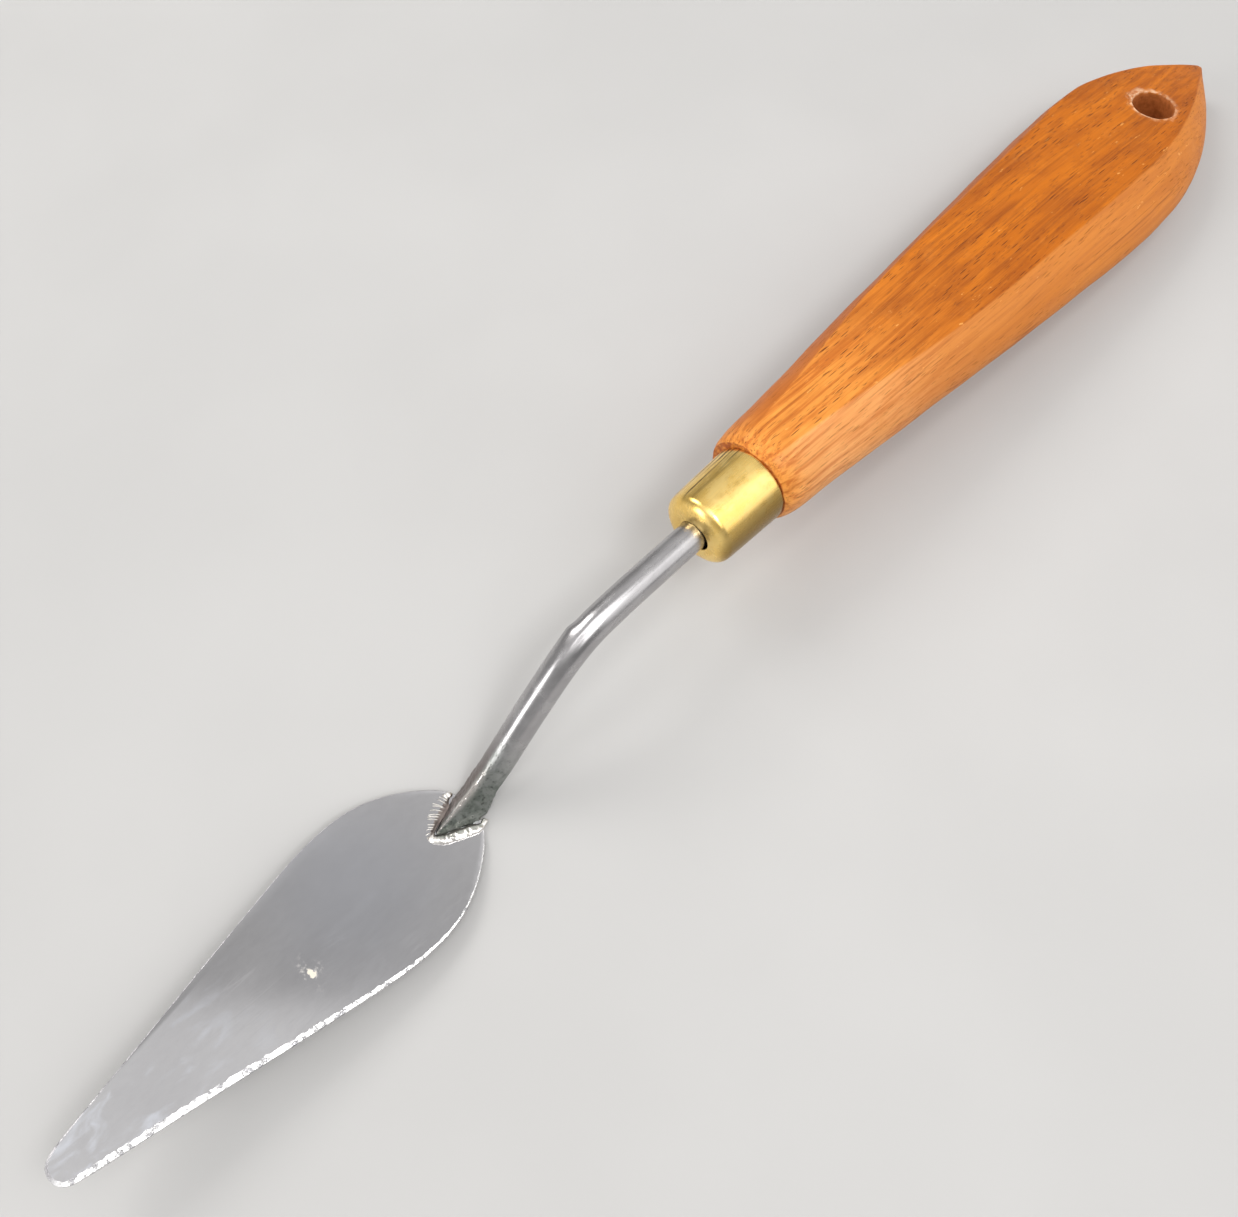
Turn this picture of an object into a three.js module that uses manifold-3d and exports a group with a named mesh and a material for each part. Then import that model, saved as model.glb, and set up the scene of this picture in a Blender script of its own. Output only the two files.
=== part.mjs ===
// Painter's palette knife with a cranked neck, in millimetres, +Z up.
// It lies as it does on a table: the heel of the blade and the belly of the handle touch z = 0 and the tip is in the air.
// X runs from the tip (-X) to the butt of the handle (+X), and the knife is symmetrical about Y = 0.
// The origin is the bottom centre of the whole knife.
import * as THREE from "three";
import { mergeVertices } from "three/addons/utils/BufferGeometryUtils.js";
import Module from "manifold-3d";

// ---------- driving dimensions ----------
const STATION_0 = -105.686; // x of the blade tip's station 0

const BLADE_TILT = THREE.MathUtils.degToRad(9.8); // the tip stands higher than the heel
const BLADE_T = 0.5; // thickness of the blade
const BLADE_L = 56.2; // tip to heel, along the blade
const BLADE_HINGE = 49.2; // where the blade starts to flex, from the tip
const GAP = 0.3; // clearance between neighbouring pieces
// half widths of the blade at distances from its tip
const BLADE_OUTLINE = [
  [0.0, 0.0], [0.08, 0.62], [0.35, 1.22], [0.8, 1.68], [1.5, 2.02], [2.6, 2.3], [4.0, 2.6], [8.0, 3.42],
  [14.0, 4.66], [22.0, 6.36], [30.0, 8.02], [35.0, 9.02], [38.0, 9.5], [40.5, 9.74], [42.5, 9.79], [44.5, 9.66],
  [46.5, 9.26], [48.5, 8.56], [50.2, 7.74], [51.8, 6.72], [53.2, 5.66], [54.3, 4.66], [55.2, 3.62], [55.8, 2.6], [56.1, 1.5],
  [56.2, 0.0],
];

const ROD_D = 3.8; // neck rod
const TANG_IN = 30.0; // how far the rod reaches into the handle, from the seat of the ferrule
const NECK_POINTS = [ // centre line of the neck from the ferrule down to the foot: station, z
  [79.6, 16.3], [78.2, 16.35], [76.6, 16.15], [75.0, 15.66], [73.4, 14.92], [71.7, 13.9], [69.1, 12.0],
  [66.5, 9.95], [63.6, 7.5], [61.0, 5.25], [58.9, 3.75], [57.2, 2.95], [55.6, 2.5], [54.2, 2.2], [52.8, 1.98], [51.4, 1.82], [50.1, 1.75],
];
const FOOT_START = 61.4; // the round rod turns into the wedge foot below this station
const FOOT_TOE = 50.1; // toe of the wedge foot
const FOOT_LIFT = [54.8, 58.6]; // stations between which the flat underside turns into the round rod
const FOOT_W = [[50.1, 0.32], [51.3, 0.84], [52.4, 1.3], [53.4, 1.7], [54.5, 2.1], [56.0, 2.15], [58.0, 2.0], [61.4, 1.9]]; // station, half width of its base
const FOOT_RIDGE = [[50.1, 1.98], [51.7, 2.45], [53.4, 3.12], [55.0, 3.86], [56.2, 4.4], [57.4, 5.05], [58.4, 5.75], [59.8, 6.95], [61.4, 8.35]]; // station, height of its ridge

const HANDLE_TILT = Math.atan(0.1003); // the axis of the handle falls towards the butt
const SEAT = [104.0, 14.06]; // station and height of the handle's axis at the back of the ferrule
const SPIGOT_L = 7.2; // turned end that the ferrule is pressed on
const SPIGOT_R = [4.16, 4.42];
const BORE_R = 2.7; // hole for the tang
const BORE_DEPTH = 32.0;
// distance from the seat, half width, half thickness, exponent of the section, half width of the planed flat as a share
const HANDLE_SECTIONS = [
  [0.9, 5.6, 5.5, 2.0, 0.3], [1.5, 5.9, 5.85, 2.0, 0.32], [4.0, 6.42, 6.348, 2.0, 0.34], [8.0, 6.72, 6.296, 1.95, 0.37], [12.0, 7.1, 6.244, 1.9, 0.4],
  [16.0, 7.48, 6.192, 1.85, 0.43], [22.0, 8.1, 6.114, 1.78, 0.48], [28.0, 8.67, 6.036, 1.7, 0.53], [36.0, 9.38, 5.932, 1.62, 0.56], [44.0, 10.08, 5.828, 1.58, 0.56],
  [52.0, 10.76, 5.724, 1.55, 0.54], [58.0, 11.26, 5.646, 1.55, 0.53], [64.0, 11.72, 5.568, 1.55, 0.53], [70.0, 12.06, 5.49, 1.55, 0.53], [75.0, 12.2, 5.425, 1.55, 0.53],
  [79.0, 12.18, 5.373, 1.55, 0.54], [83.0, 11.92, 5.25, 1.55, 0.54], [87.0, 11.36, 5.1, 1.55, 0.54], [90.5, 10.46, 4.92, 1.55, 0.53], [93.5, 9.48, 4.7, 1.58, 0.52],
  [96.5, 8.3, 4.42, 1.62, 0.5], [99.0, 7.06, 4.14, 1.66, 0.48], [101.2, 5.78, 3.84, 1.7, 0.45], [103.2, 4.42, 3.54, 1.75, 0.42], [104.8, 3.22, 3.26, 1.8, 0.4],
  [106.0, 2.25, 3.02, 1.9, 0.35], [107.0, 1.42, 2.76, 2.0, 0.3], [107.7, 0.86, 2.46, 2.0, 0.3], [108.05, 0.5, 2.1, 2.0, 0.3],
];
const HOLE_AT = 195.07; // station of the hanging hole, which is drilled upright
const HOLE_R = 2.97;

const FERRULE_L = 9.85; // brass cap, from its front lip to its back rim
const FERRULE_R = [4.92, 5.2]; // outside radius behind the lip and at the back
const FERRULE_T = 0.4;
const FERRULE_HOLE_R = 2.45;

// ---------- helpers ----------
const wasm = await Module();
wasm.setup();

function toSolid(geometry) {
  const g = geometry.index ? geometry.toNonIndexed() : geometry.clone();
  g.deleteAttribute("normal");
  g.deleteAttribute("uv");
  const m = mergeVertices(g, 1e-4);
  return new wasm.Manifold(
    new wasm.Mesh({ numProp: 3, vertProperties: m.attributes.position.array, triVerts: new Uint32Array(m.index.array) }),
  );
}

function toGeometry(solid) {
  const m = solid.getMesh();
  const v = new Float32Array(m.numVert * 3);
  for (let i = 0; i < m.numVert; i++) v.set(m.vertProperties.subarray(i * m.numProp, i * m.numProp + 3), i * 3);
  const g = new THREE.BufferGeometry();
  g.setAttribute("position", new THREE.BufferAttribute(v, 3));
  g.setIndex(new THREE.BufferAttribute(m.triVerts, 1));
  return g;
}

// A capped cylinder of unit size whose rings are moved to where place(ring, angle) says.
function loft(rings, around, place) {
  const g = new THREE.CylinderGeometry(1, 1, 1, around, rings - 1, false);
  g.deleteAttribute("normal");
  g.deleteAttribute("uv");
  const p = g.attributes.position;
  for (let i = 0; i < p.count; i++) {
    const x = p.getX(i), z = p.getZ(i);
    const ring = Math.round((0.5 - p.getY(i)) * (rings - 1));
    const r = Math.hypot(x, z);
    const to = r < 1e-6 ? place(ring, null) : place(ring, Math.atan2(x, z));
    p.setXYZ(i, to.x, to.y, to.z);
  }
  return facingOut(mergeVertices(g, 1e-4));
}

// Turns the faces round where they point inwards.
function facingOut(m) {
  const s = new THREE.Vector3(), a = new THREE.Vector3(), b = new THREE.Vector3(), c = new THREE.Vector3();
  let volume = 0;
  const q = m.attributes.position, ix = m.index.array;
  for (let i = 0; i < ix.length; i += 3) {
    a.fromBufferAttribute(q, ix[i]); b.fromBufferAttribute(q, ix[i + 1]); c.fromBufferAttribute(q, ix[i + 2]);
    volume += a.dot(s.crossVectors(b, c));
  }
  if (volume < 0) for (let i = 0; i < ix.length; i += 3) [ix[i + 1], ix[i + 2]] = [ix[i + 2], ix[i + 1]];
  return m;
}

// The value of a table of [place, value] rows at a place, on straight lines between its rows.
function table(rows, at) {
  if (at <= rows[0][0]) return rows[0][1];
  for (let i = 1; i < rows.length; i++)
    if (at <= rows[i][0]) return THREE.MathUtils.mapLinear(at, rows[i - 1][0], rows[i][0], rows[i - 1][1], rows[i][1]);
  return rows[rows.length - 1][1];
}

const sgnPow = (v, e) => Math.sign(v) * Math.pow(Math.abs(v), e);

function mesh(name, geometry, color, roughness, metalness) {
  const g = geometry.clone();
  g.computeVertexNormals();
  const m = new THREE.Mesh(g, new THREE.MeshStandardMaterial({ color, roughness, metalness }));
  m.name = name;
  return m;
}

// ---------- blade ----------
// In the blade's own frame u runs from the tip to the heel and the flat underside is at z = 0.
const heelX = STATION_0 + (BLADE_L - 0.15) * Math.cos(BLADE_TILT);
const bladeGroup = new THREE.Group();
bladeGroup.position.set(heelX - 0.2, 0, 0.0);
bladeGroup.rotation.y = BLADE_TILT;

function outlineShape(from, to) {
  const curve = new THREE.CatmullRomCurve3(
    BLADE_OUTLINE.map(([u, w]) => new THREE.Vector3(u, w, 0)), false, "centripetal");
  const pts = curve.getPoints(170).filter((p, i, all) => i === 0 || p.distanceTo(all[i - 1]) > 1e-4);
  const side = pts.filter((p) => p.x > from + 1e-3 && p.x < to - 1e-3);
  const widthAt = (u) => {
    for (let i = 1; i < pts.length; i++)
      if (pts[i].x >= u) return pts[i - 1].y + ((u - pts[i - 1].x) / (pts[i].x - pts[i - 1].x)) * (pts[i].y - pts[i - 1].y);
    return 0;
  };
  const upper = [];
  if (from > 0) upper.push([from, widthAt(from)]);
  else upper.push([0, 0]);
  for (const p of side) upper.push([p.x, p.y]);
  if (to < BLADE_L) upper.push([to, widthAt(to)]);
  else upper.push([BLADE_L, 0]);
  const lower = upper.filter(([, w]) => w > 1e-6).map(([u, w]) => [u, -w]).reverse();
  const all = upper.concat(lower);
  const shape = new THREE.Shape();
  all.forEach(([u, w], i) => (i ? shape.lineTo(u - BLADE_L, w) : shape.moveTo(u - BLADE_L, w)));
  shape.closePath();
  return shape;
}

const bladeGeometry = new THREE.ExtrudeGeometry(outlineShape(0, BLADE_HINGE - GAP / 2), { depth: BLADE_T, bevelEnabled: false, steps: 1 });
const rootGeometry = new THREE.ExtrudeGeometry(outlineShape(BLADE_HINGE + GAP / 2, BLADE_L), { depth: BLADE_T, bevelEnabled: false, steps: 1 });
bladeGroup.add(mesh("blade", bladeGeometry, 0xa8a6a9, 0.28, 1.0));
bladeGroup.add(mesh("blade_root", rootGeometry, 0xa8a6a9, 0.28, 1.0));

// ---------- neck: tang, cranked rod and wedge foot in one piece ----------
const axisZ = (s) => SEAT[1] - 0.1003 * (s - SEAT[0]);
const neckLine = [];
neckLine.push([SEAT[0] + TANG_IN * Math.cos(HANDLE_TILT), axisZ(SEAT[0] + TANG_IN * Math.cos(HANDLE_TILT))]);
for (const s of [124, 114, 104, 98, 92, 87, 83.2]) neckLine.push([s, axisZ(s)]);
neckLine.push([81.2, 16.26]);
for (const p of NECK_POINTS) neckLine.push(p);
const neckCurve = new THREE.CatmullRomCurve3(
  neckLine.map(([s, z]) => new THREE.Vector3(STATION_0 + s, 0, z)), false, "centripetal");

// The top surface of the blade at a station, and the clearance over it.
const bladeTop = (x) => {
  const u = (heelX - 0.2 - x) / Math.cos(BLADE_TILT); // distance from the heel
  return u * Math.sin(BLADE_TILT) + BLADE_T / Math.cos(BLADE_TILT);
};

const NECK_RINGS = 62;
const neckT = [];
for (let i = 0; i < NECK_RINGS; i++) neckT.push(i / (NECK_RINGS - 1));
// rings close together at the crank and the foot, far apart along the straight tang
const ringAt = neckT.map((t) => (t < 0.2 ? t / 0.2 * 0.42 : 0.42 + (t - 0.2) / 0.8 * 0.58));
const neckGeometry = loft(NECK_RINGS, 20, (ring, angle) => {
  const t = ringAt[ring];
  const c = neckCurve.getPointAt(t);
  const tan = neckCurve.getTangentAt(t);
  const up = new THREE.Vector3(-tan.z, 0, tan.x);
  if (up.z < 0) up.negate();
  const s = c.x - STATION_0;
  if (s > FOOT_START) {
    if (angle === null) return c;
    const r = ROD_D / 2;
    return c.clone().addScaledVector(up, r * Math.cos(angle)).add(new THREE.Vector3(0, r * Math.sin(angle), 0));
  }
  // the foot: a wedge with a flat underside that lies on the blade and a ridge that runs down to the toe
  const k = THREE.MathUtils.clamp((FOOT_START - s) / (FOOT_START - FOOT_TOE), 0, 1);
  const blendIn = THREE.MathUtils.smoothstep(k, 0, 0.5);
  const base = bladeTop(c.x) + GAP + 0.02;
  const ridge = table(FOOT_RIDGE, s);
  const halfW = table(FOOT_W, s);
  const round = (a) => c.clone().addScaledVector(up, (ROD_D / 2) * Math.cos(a)).add(new THREE.Vector3(0, (ROD_D / 2) * Math.sin(a), 0));
  // behind the blade's heel the underside is the round rod again, and the sides stand at the rod's middle
  const lift = THREE.MathUtils.smoothstep(s, FOOT_LIFT[0], FOOT_LIFT[1]);
  const sideZ = THREE.MathUtils.lerp(base, c.z, lift);
  const bottomZ = THREE.MathUtils.lerp(base, c.z - (ROD_D / 2) * 1.25, THREE.MathUtils.smoothstep(s, 55.6, 57.8));
  const keel = (a) => {
    const at = Math.abs(Math.atan2(Math.sin(a), Math.cos(a))) / (Math.PI / 2); // 0 on the ridge, 1 on the side, 2 under the middle
    const side = Math.sign(Math.sin(a));
    if (at <= 1 + 1e-6) return new THREE.Vector3(c.x, side * halfW * Math.pow(at, 0.92), ridge - (ridge - sideZ) * 0.86 * Math.pow(at, 1.12));
    const round = THREE.MathUtils.lerp(sideZ, bottomZ, Math.sin((Math.PI / 2) * (at - 1)));
    return new THREE.Vector3(c.x, side * halfW * Math.pow(Math.max(2 - at, 0), 0.45 + 0.1 * lift), THREE.MathUtils.lerp(base, round, lift));
  };
  if (angle === null) {
    const m = keel(0).add(keel(Math.PI)).multiplyScalar(0.5);
    return c.clone().lerp(m, blendIn);
  }
  const p = round(angle).lerp(keel(angle), blendIn);
  p.z = Math.max(p.z, bladeTop(p.x) + GAP, 0.35);
  return p;
});
const neck = mesh("shank", neckGeometry, 0x9c9b9d, 0.3, 1.0);

// ---------- weld bead round the toe of the foot ----------
// One rounded V of weld metal that lies on the blade from the heel on one side, round the toe, to the heel on the other side.
const WELD_R = 0.5;
const WELD_SIDE = [[54.2, 3.0], [53.3, 2.76], [52.4, 2.46], [51.4, 2.02], [50.5, 1.5], [49.75, 0.92], [49.35, 0.42]]; // station, distance from the middle
const weldPath = WELD_SIDE.concat([[49.22, 0]], WELD_SIDE.map(([s, y]) => [s, -y]).reverse());
const weldCurve = new THREE.CatmullRomCurve3(
  weldPath.map(([s, y]) => {
    const x = STATION_0 + s;
    return new THREE.Vector3(x, y, bladeTop(x) + GAP + WELD_R);
  }), false, "centripetal");
const weldSection = new THREE.Shape();
for (let i = 0; i < 8; i++) {
  const a = (i / 8) * Math.PI * 2 + Math.PI / 8;
  const x = WELD_R * Math.cos(a), y = WELD_R * Math.sin(a);
  i ? weldSection.lineTo(x, y) : weldSection.moveTo(x, y);
}
weldSection.closePath();
const weldGeometry = new THREE.ExtrudeGeometry(weldSection, { steps: 36, bevelEnabled: false, extrudePath: weldCurve });
// ---------- handle ----------
// In the handle's frame x runs along its axis from the ferrule's back rim to the butt, and z is across its flats.
const handleGroup = new THREE.Group();
handleGroup.position.set(STATION_0 + SEAT[0], 0, SEAT[1]);
handleGroup.rotation.y = HANDLE_TILT;

function sectionAt(x) {
  const t = HANDLE_SECTIONS;
  if (x <= t[0][0]) return t[0].slice(1);
  for (let i = 1; i < t.length; i++)
    if (x <= t[i][0]) {
      const k = (x - t[i - 1][0]) / (t[i][0] - t[i - 1][0]);
      return t[i].slice(1).map((v, j) => THREE.MathUtils.lerp(t[i - 1][j + 1], v, k));
    }
  return t[t.length - 1].slice(1);
}

function sectionPoint(x, angle) {
  const [w, h, p, flat] = sectionAt(x);
  const H = h / Math.pow(1 - Math.pow(flat, p), 1 / p); // crown of the turned section before its flats are planed
  const z = H * sgnPow(Math.cos(angle), 2 / p);
  return new THREE.Vector3(x, w * sgnPow(Math.sin(angle), 2 / p), THREE.MathUtils.clamp(z, -h, h));
}

const handleRings = HANDLE_SECTIONS.map((r) => r[0]);
const bodyGeometry = loft(handleRings.length, 36, (ring, angle) => {
  const x = handleRings[ring];
  if (angle === null) return new THREE.Vector3(x, 0, 0);
  return sectionPoint(x, angle);
});
const spigotProfile = [[0, -SPIGOT_L], [SPIGOT_R[0] - 0.35, -SPIGOT_L], [SPIGOT_R[0], -SPIGOT_L + 0.4], [SPIGOT_R[1], 0.2], [SPIGOT_R[1], 3.0], [0, 3.0]]
  .map(([r, x]) => new THREE.Vector2(r, x));
function latheAlongX(profile, around) {
  const g = new THREE.LatheGeometry(profile, around).rotateZ(-Math.PI / 2).rotateX(Math.PI / around);
  g.deleteAttribute("normal");
  g.deleteAttribute("uv");
  return facingOut(mergeVertices(g, 1e-4));
}
let handleSolid = toSolid(bodyGeometry).add(toSolid(latheAlongX(spigotProfile, 36)));
const bore = new THREE.CylinderGeometry(BORE_R, BORE_R, BORE_DEPTH + 12, 28).rotateZ(-Math.PI / 2).translate((BORE_DEPTH - 12) / 2, 0, 0);
const hangingHole = new THREE.CylinderGeometry(HOLE_R, HOLE_R, 40, 40).rotateX(Math.PI / 2)
  .translate(STATION_0 + HOLE_AT - handleGroup.position.x, 0, -handleGroup.position.z).rotateY(-HANDLE_TILT);
handleSolid = handleSolid.subtract(toSolid(bore)).subtract(toSolid(hangingHole));
handleGroup.add(mesh("handle", toGeometry(handleSolid), 0xc0742c, 0.38, 0.0));

// ---------- ferrule ----------
const [fr, br] = FERRULE_R;
const fx = -FERRULE_L + 0.2;
const lip = 1.25; // radius of the rolled front lip
const ferruleProfile = [];
ferruleProfile.push([FERRULE_HOLE_R, fx + FERRULE_T + 0.1], [FERRULE_HOLE_R, fx + 0.18], [FERRULE_HOLE_R + 0.18, fx]);
for (let i = 0; i <= 7; i++) {
  const a = (i / 7) * Math.PI / 2;
  ferruleProfile.push([fr - 0.02 - lip + lip * Math.sin(a), fx + lip - lip * Math.cos(a)]);
}
ferruleProfile.push([(fr + br) / 2, 0.5 * (fx + lip) + 0.1], [br, 0.35], [br, 0.6], [br - FERRULE_T, 0.6], [(fr + br) / 2 - FERRULE_T, 0.5 * (fx + lip) + 0.1]);
const inner = lip - FERRULE_T;
for (let i = 6; i >= 0; i--) {
  const a = (i / 6) * Math.PI / 2;
  ferruleProfile.push([fr - 0.02 - lip + inner * Math.sin(a), fx + lip - inner * Math.cos(a)]);
}
ferruleProfile.push(ferruleProfile[0]);
handleGroup.add(mesh("ferrule", latheAlongX(ferruleProfile.map(([r, x]) => new THREE.Vector2(r, x)), 48), 0xd8b04a, 0.25, 1.0));

// ---------- adhesive that fills the bore round the tang ----------
const adhesiveProfile = [
  [0, TANG_IN + GAP], [ROD_D / 2 + 0.2, TANG_IN + GAP], [ROD_D / 2 + 0.2, -SPIGOT_L + 0.6],
  [BORE_R - 0.2, -SPIGOT_L + 0.6], [BORE_R - 0.2, BORE_DEPTH - 0.2], [0, BORE_DEPTH - 0.2],
];
const adhesiveClosed = adhesiveProfile.map(([r, x]) => new THREE.Vector2(r, x));
handleGroup.add(mesh("tang_adhesive", latheAlongX(adhesiveClosed, 28), 0x8a6a3a, 0.6, 0.0));

// ---------- the knife ----------
const knife = new THREE.Group();
knife.add(bladeGroup, neck, handleGroup);
knife.add(mesh("weld_bead", weldGeometry, 0xb9b6b0, 0.35, 1.0));

export default knife;
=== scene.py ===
import bpy, bmesh, math
import numpy as np
from mathutils import Vector, Matrix


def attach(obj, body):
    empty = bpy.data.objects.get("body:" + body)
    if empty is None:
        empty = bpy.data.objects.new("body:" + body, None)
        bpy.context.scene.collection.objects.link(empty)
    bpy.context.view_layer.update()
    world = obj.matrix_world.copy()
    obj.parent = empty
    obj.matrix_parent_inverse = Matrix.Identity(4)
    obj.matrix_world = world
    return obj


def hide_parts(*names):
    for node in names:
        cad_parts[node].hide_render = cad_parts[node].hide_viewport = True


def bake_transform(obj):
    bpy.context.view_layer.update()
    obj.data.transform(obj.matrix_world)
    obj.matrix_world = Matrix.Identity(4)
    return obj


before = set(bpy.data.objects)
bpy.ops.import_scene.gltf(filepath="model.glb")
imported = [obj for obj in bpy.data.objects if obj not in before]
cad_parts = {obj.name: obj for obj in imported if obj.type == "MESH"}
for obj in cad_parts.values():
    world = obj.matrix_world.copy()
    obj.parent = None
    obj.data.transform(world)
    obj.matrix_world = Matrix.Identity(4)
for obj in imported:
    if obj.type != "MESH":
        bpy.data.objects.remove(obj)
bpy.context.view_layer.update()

# ---------------------------------------------------------------- dimensions, mm, as in the CAD
S0 = -105.686
TILT = math.radians(9.8)
BLADE_T, BLADE_L, HINGE_U = 0.5, 56.2, 49.2
OUTLINE = [(0.0, 0.0), (0.08, 0.62), (0.35, 1.22), (0.8, 1.68), (1.5, 2.02), (2.6, 2.3), (4.0, 2.6), (8.0, 3.42), (14.0, 4.66), (22.0, 6.36),
           (30.0, 8.02), (35.0, 9.02), (38.0, 9.5), (40.5, 9.74), (42.5, 9.79), (44.5, 9.66), (46.5, 9.26), (48.5, 8.56), (50.2, 7.74), (51.8, 6.72),
           (53.2, 5.66), (54.3, 4.66), (55.2, 3.62), (55.8, 2.6), (56.1, 1.5), (56.2, 0.0)]
ROD_R = 1.9
NECK = [(79.6, 16.3), (78.2, 16.35), (76.6, 16.15), (75.0, 15.66), (73.4, 14.92), (71.7, 13.9), (69.1, 12.0), (66.5, 9.95), (63.6, 7.5), (61.0, 5.25),
        (58.9, 3.75), (57.2, 2.95), (55.6, 2.5), (54.2, 2.2), (52.8, 1.98), (51.4, 1.82), (50.1, 1.75)]
FOOT_START, FOOT_TOE = 61.4, 50.1
FOOT_W = [(50.1, 0.32), (51.3, 0.84), (52.4, 1.3), (53.4, 1.7), (54.5, 2.1), (56.0, 2.15), (58.0, 2.0), (61.4, 1.9)]
FOOT_RIDGE = [(50.1, 1.98), (51.7, 2.45), (53.4, 3.12), (55.0, 3.86), (56.2, 4.4), (57.4, 5.05), (58.4, 5.75), (59.8, 6.95), (61.4, 8.35)]
TANG_IN = 30.0
HANDLE_TILT = math.atan(0.1003)
SEAT = (104.0, 14.06)
SPIGOT_L, SPIGOT_R = 7.2, (4.16, 4.42)
BORE_R, BORE_DEPTH = 2.7, 32.0
SECTIONS = [(0.9, 5.6, 5.5, 2.0, 0.3), (1.5, 5.9, 5.85, 2.0, 0.32), (4.0, 6.42, 6.348, 2.0, 0.34), (8.0, 6.72, 6.296, 1.95, 0.37), (12.0, 7.1, 6.244, 1.9, 0.4),
            (16.0, 7.48, 6.192, 1.85, 0.43), (22.0, 8.1, 6.114, 1.78, 0.48), (28.0, 8.67, 6.036, 1.7, 0.53), (36.0, 9.38, 5.932, 1.62, 0.56), (44.0, 10.08, 5.828, 1.58, 0.56),
            (52.0, 10.76, 5.724, 1.55, 0.54), (58.0, 11.26, 5.646, 1.55, 0.53), (64.0, 11.72, 5.568, 1.55, 0.53), (70.0, 12.06, 5.49, 1.55, 0.53), (75.0, 12.2, 5.425, 1.55, 0.53),
            (79.0, 12.18, 5.373, 1.55, 0.54), (83.0, 11.92, 5.25, 1.55, 0.54), (87.0, 11.36, 5.1, 1.55, 0.54), (90.5, 10.46, 4.92, 1.55, 0.53), (93.5, 9.48, 4.7, 1.58, 0.52),
            (96.5, 8.3, 4.42, 1.62, 0.5), (99.0, 7.06, 4.14, 1.66, 0.48), (101.2, 5.78, 3.84, 1.7, 0.45), (103.2, 4.42, 3.54, 1.75, 0.42), (104.8, 3.22, 3.26, 1.8, 0.4),
            (106.0, 2.25, 3.02, 1.9, 0.35), (107.0, 1.42, 2.76, 2.0, 0.3), (107.7, 0.86, 2.46, 2.0, 0.3), (108.05, 0.5, 2.1, 2.0, 0.3)]
HOLE_X = S0 + 195.07
HOLE_R = 2.97
FERRULE_L, FERRULE_R, FERRULE_HOLE_R = 9.85, (4.92, 5.2), 2.45

heel_x = S0 + (BLADE_L - 0.15) * math.cos(TILT) - 0.2
rng = np.random.default_rng(7)


# ---------------------------------------------------------------- numbers
def smooth01(t):
    t = np.clip(t, 0, 1)
    return t * t * (3 - 2 * t)


def pchip(xs, ys, x):
    """Smooth curve through points that never overshoots them."""
    xs, ys, x = np.asarray(xs, float), np.asarray(ys, float), np.asarray(x, float)
    h, d = np.diff(xs), np.diff(ys) / np.diff(xs)
    m = np.zeros_like(ys)
    same = d[:-1] * d[1:] > 0
    w1, w2 = 2 * h[1:] + h[:-1], h[1:] + 2 * h[:-1]
    inner = np.zeros(len(ys) - 2)
    inner[same] = (w1 + w2)[same] / (w1[same] / d[:-1][same] + w2[same] / d[1:][same])
    m[1:-1] = inner
    m[0], m[-1] = d[0], d[-1]
    i = np.clip(np.searchsorted(xs, x) - 1, 0, len(xs) - 2)
    t = np.clip((x - xs[i]) / h[i], 0, 1)
    return ((1 + 2 * t) * (1 - t) ** 2 * ys[i] + t * (1 - t) ** 2 * h[i] * m[i]
            + t * t * (3 - 2 * t) * ys[i + 1] + t * t * (t - 1) * h[i] * m[i + 1])


def dense(points, step=0.05, sigma=0.6):
    """Points as an evenly spaced polyline, rounded a little, with its ends kept."""
    p = np.asarray(points, float)
    s = np.r_[0, np.cumsum(np.linalg.norm(np.diff(p, axis=0), axis=1))]
    n = max(8, int(s[-1] / step))
    t = np.linspace(0, s[-1], n)
    q = np.stack([pchip(s, p[:, k], t) for k in range(p.shape[1])], 1)
    if sigma > 0:
        k = int(4 * sigma / step)
        g = np.exp(-0.5 * (np.arange(-k, k + 1) * step / sigma) ** 2)
        g /= g.sum()
        pad = np.concatenate([2 * q[0] - q[k:0:-1], q, 2 * q[-1] - q[-2:-k - 2:-1]])
        q = np.stack([np.convolve(pad[:, j], g, "valid") for j in range(q.shape[1])], 1)
    return q


def at_length(q, t):
    """Points at shares t of a polyline's length, and unit tangents."""
    s = np.r_[0, np.cumsum(np.linalg.norm(np.diff(q, axis=0), axis=1))]
    t = np.asarray(t, float) * s[-1]
    out = np.stack([np.interp(t, s, q[:, k]) for k in range(q.shape[1])], 1)
    e = 0.05
    a = np.stack([np.interp(np.clip(t - e, 0, s[-1]), s, q[:, k]) for k in range(q.shape[1])], 1)
    b = np.stack([np.interp(np.clip(t + e, 0, s[-1]), s, q[:, k]) for k in range(q.shape[1])], 1)
    d = b - a
    return out, d / np.linalg.norm(d, axis=1)[:, None]


def wobble(t, waves, seed):
    """Smooth pseudo-random curve in -1..1 of a number array, from a few sines."""
    r = np.random.default_rng(seed)
    v = np.zeros_like(t, dtype=float)
    total = 0
    for f in waves:
        a = r.uniform(0.6, 1.0)
        v += a * np.sin(2 * np.pi * (f * t + r.uniform(0, 1)))
        total += a
    return v / total


# ---------------------------------------------------------------- meshes
def new_object(name, verts, faces, smooth=True):
    """Vertices in mm."""
    me = bpy.data.meshes.new(name)
    me.from_pydata((np.asarray(verts, float) * 0.001).tolist(), [], [list(map(int, f)) for f in faces])
    me.validate()
    o = bpy.data.objects.new(name, me)
    bpy.context.scene.collection.objects.link(o)
    bm = bmesh.new()
    bm.from_mesh(me)
    bmesh.ops.remove_doubles(bm, verts=bm.verts, dist=1e-7)
    bmesh.ops.recalc_face_normals(bm, faces=bm.faces)
    for f in bm.faces:
        f.smooth = smooth
    bm.to_mesh(me)
    bm.free()
    return o


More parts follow.
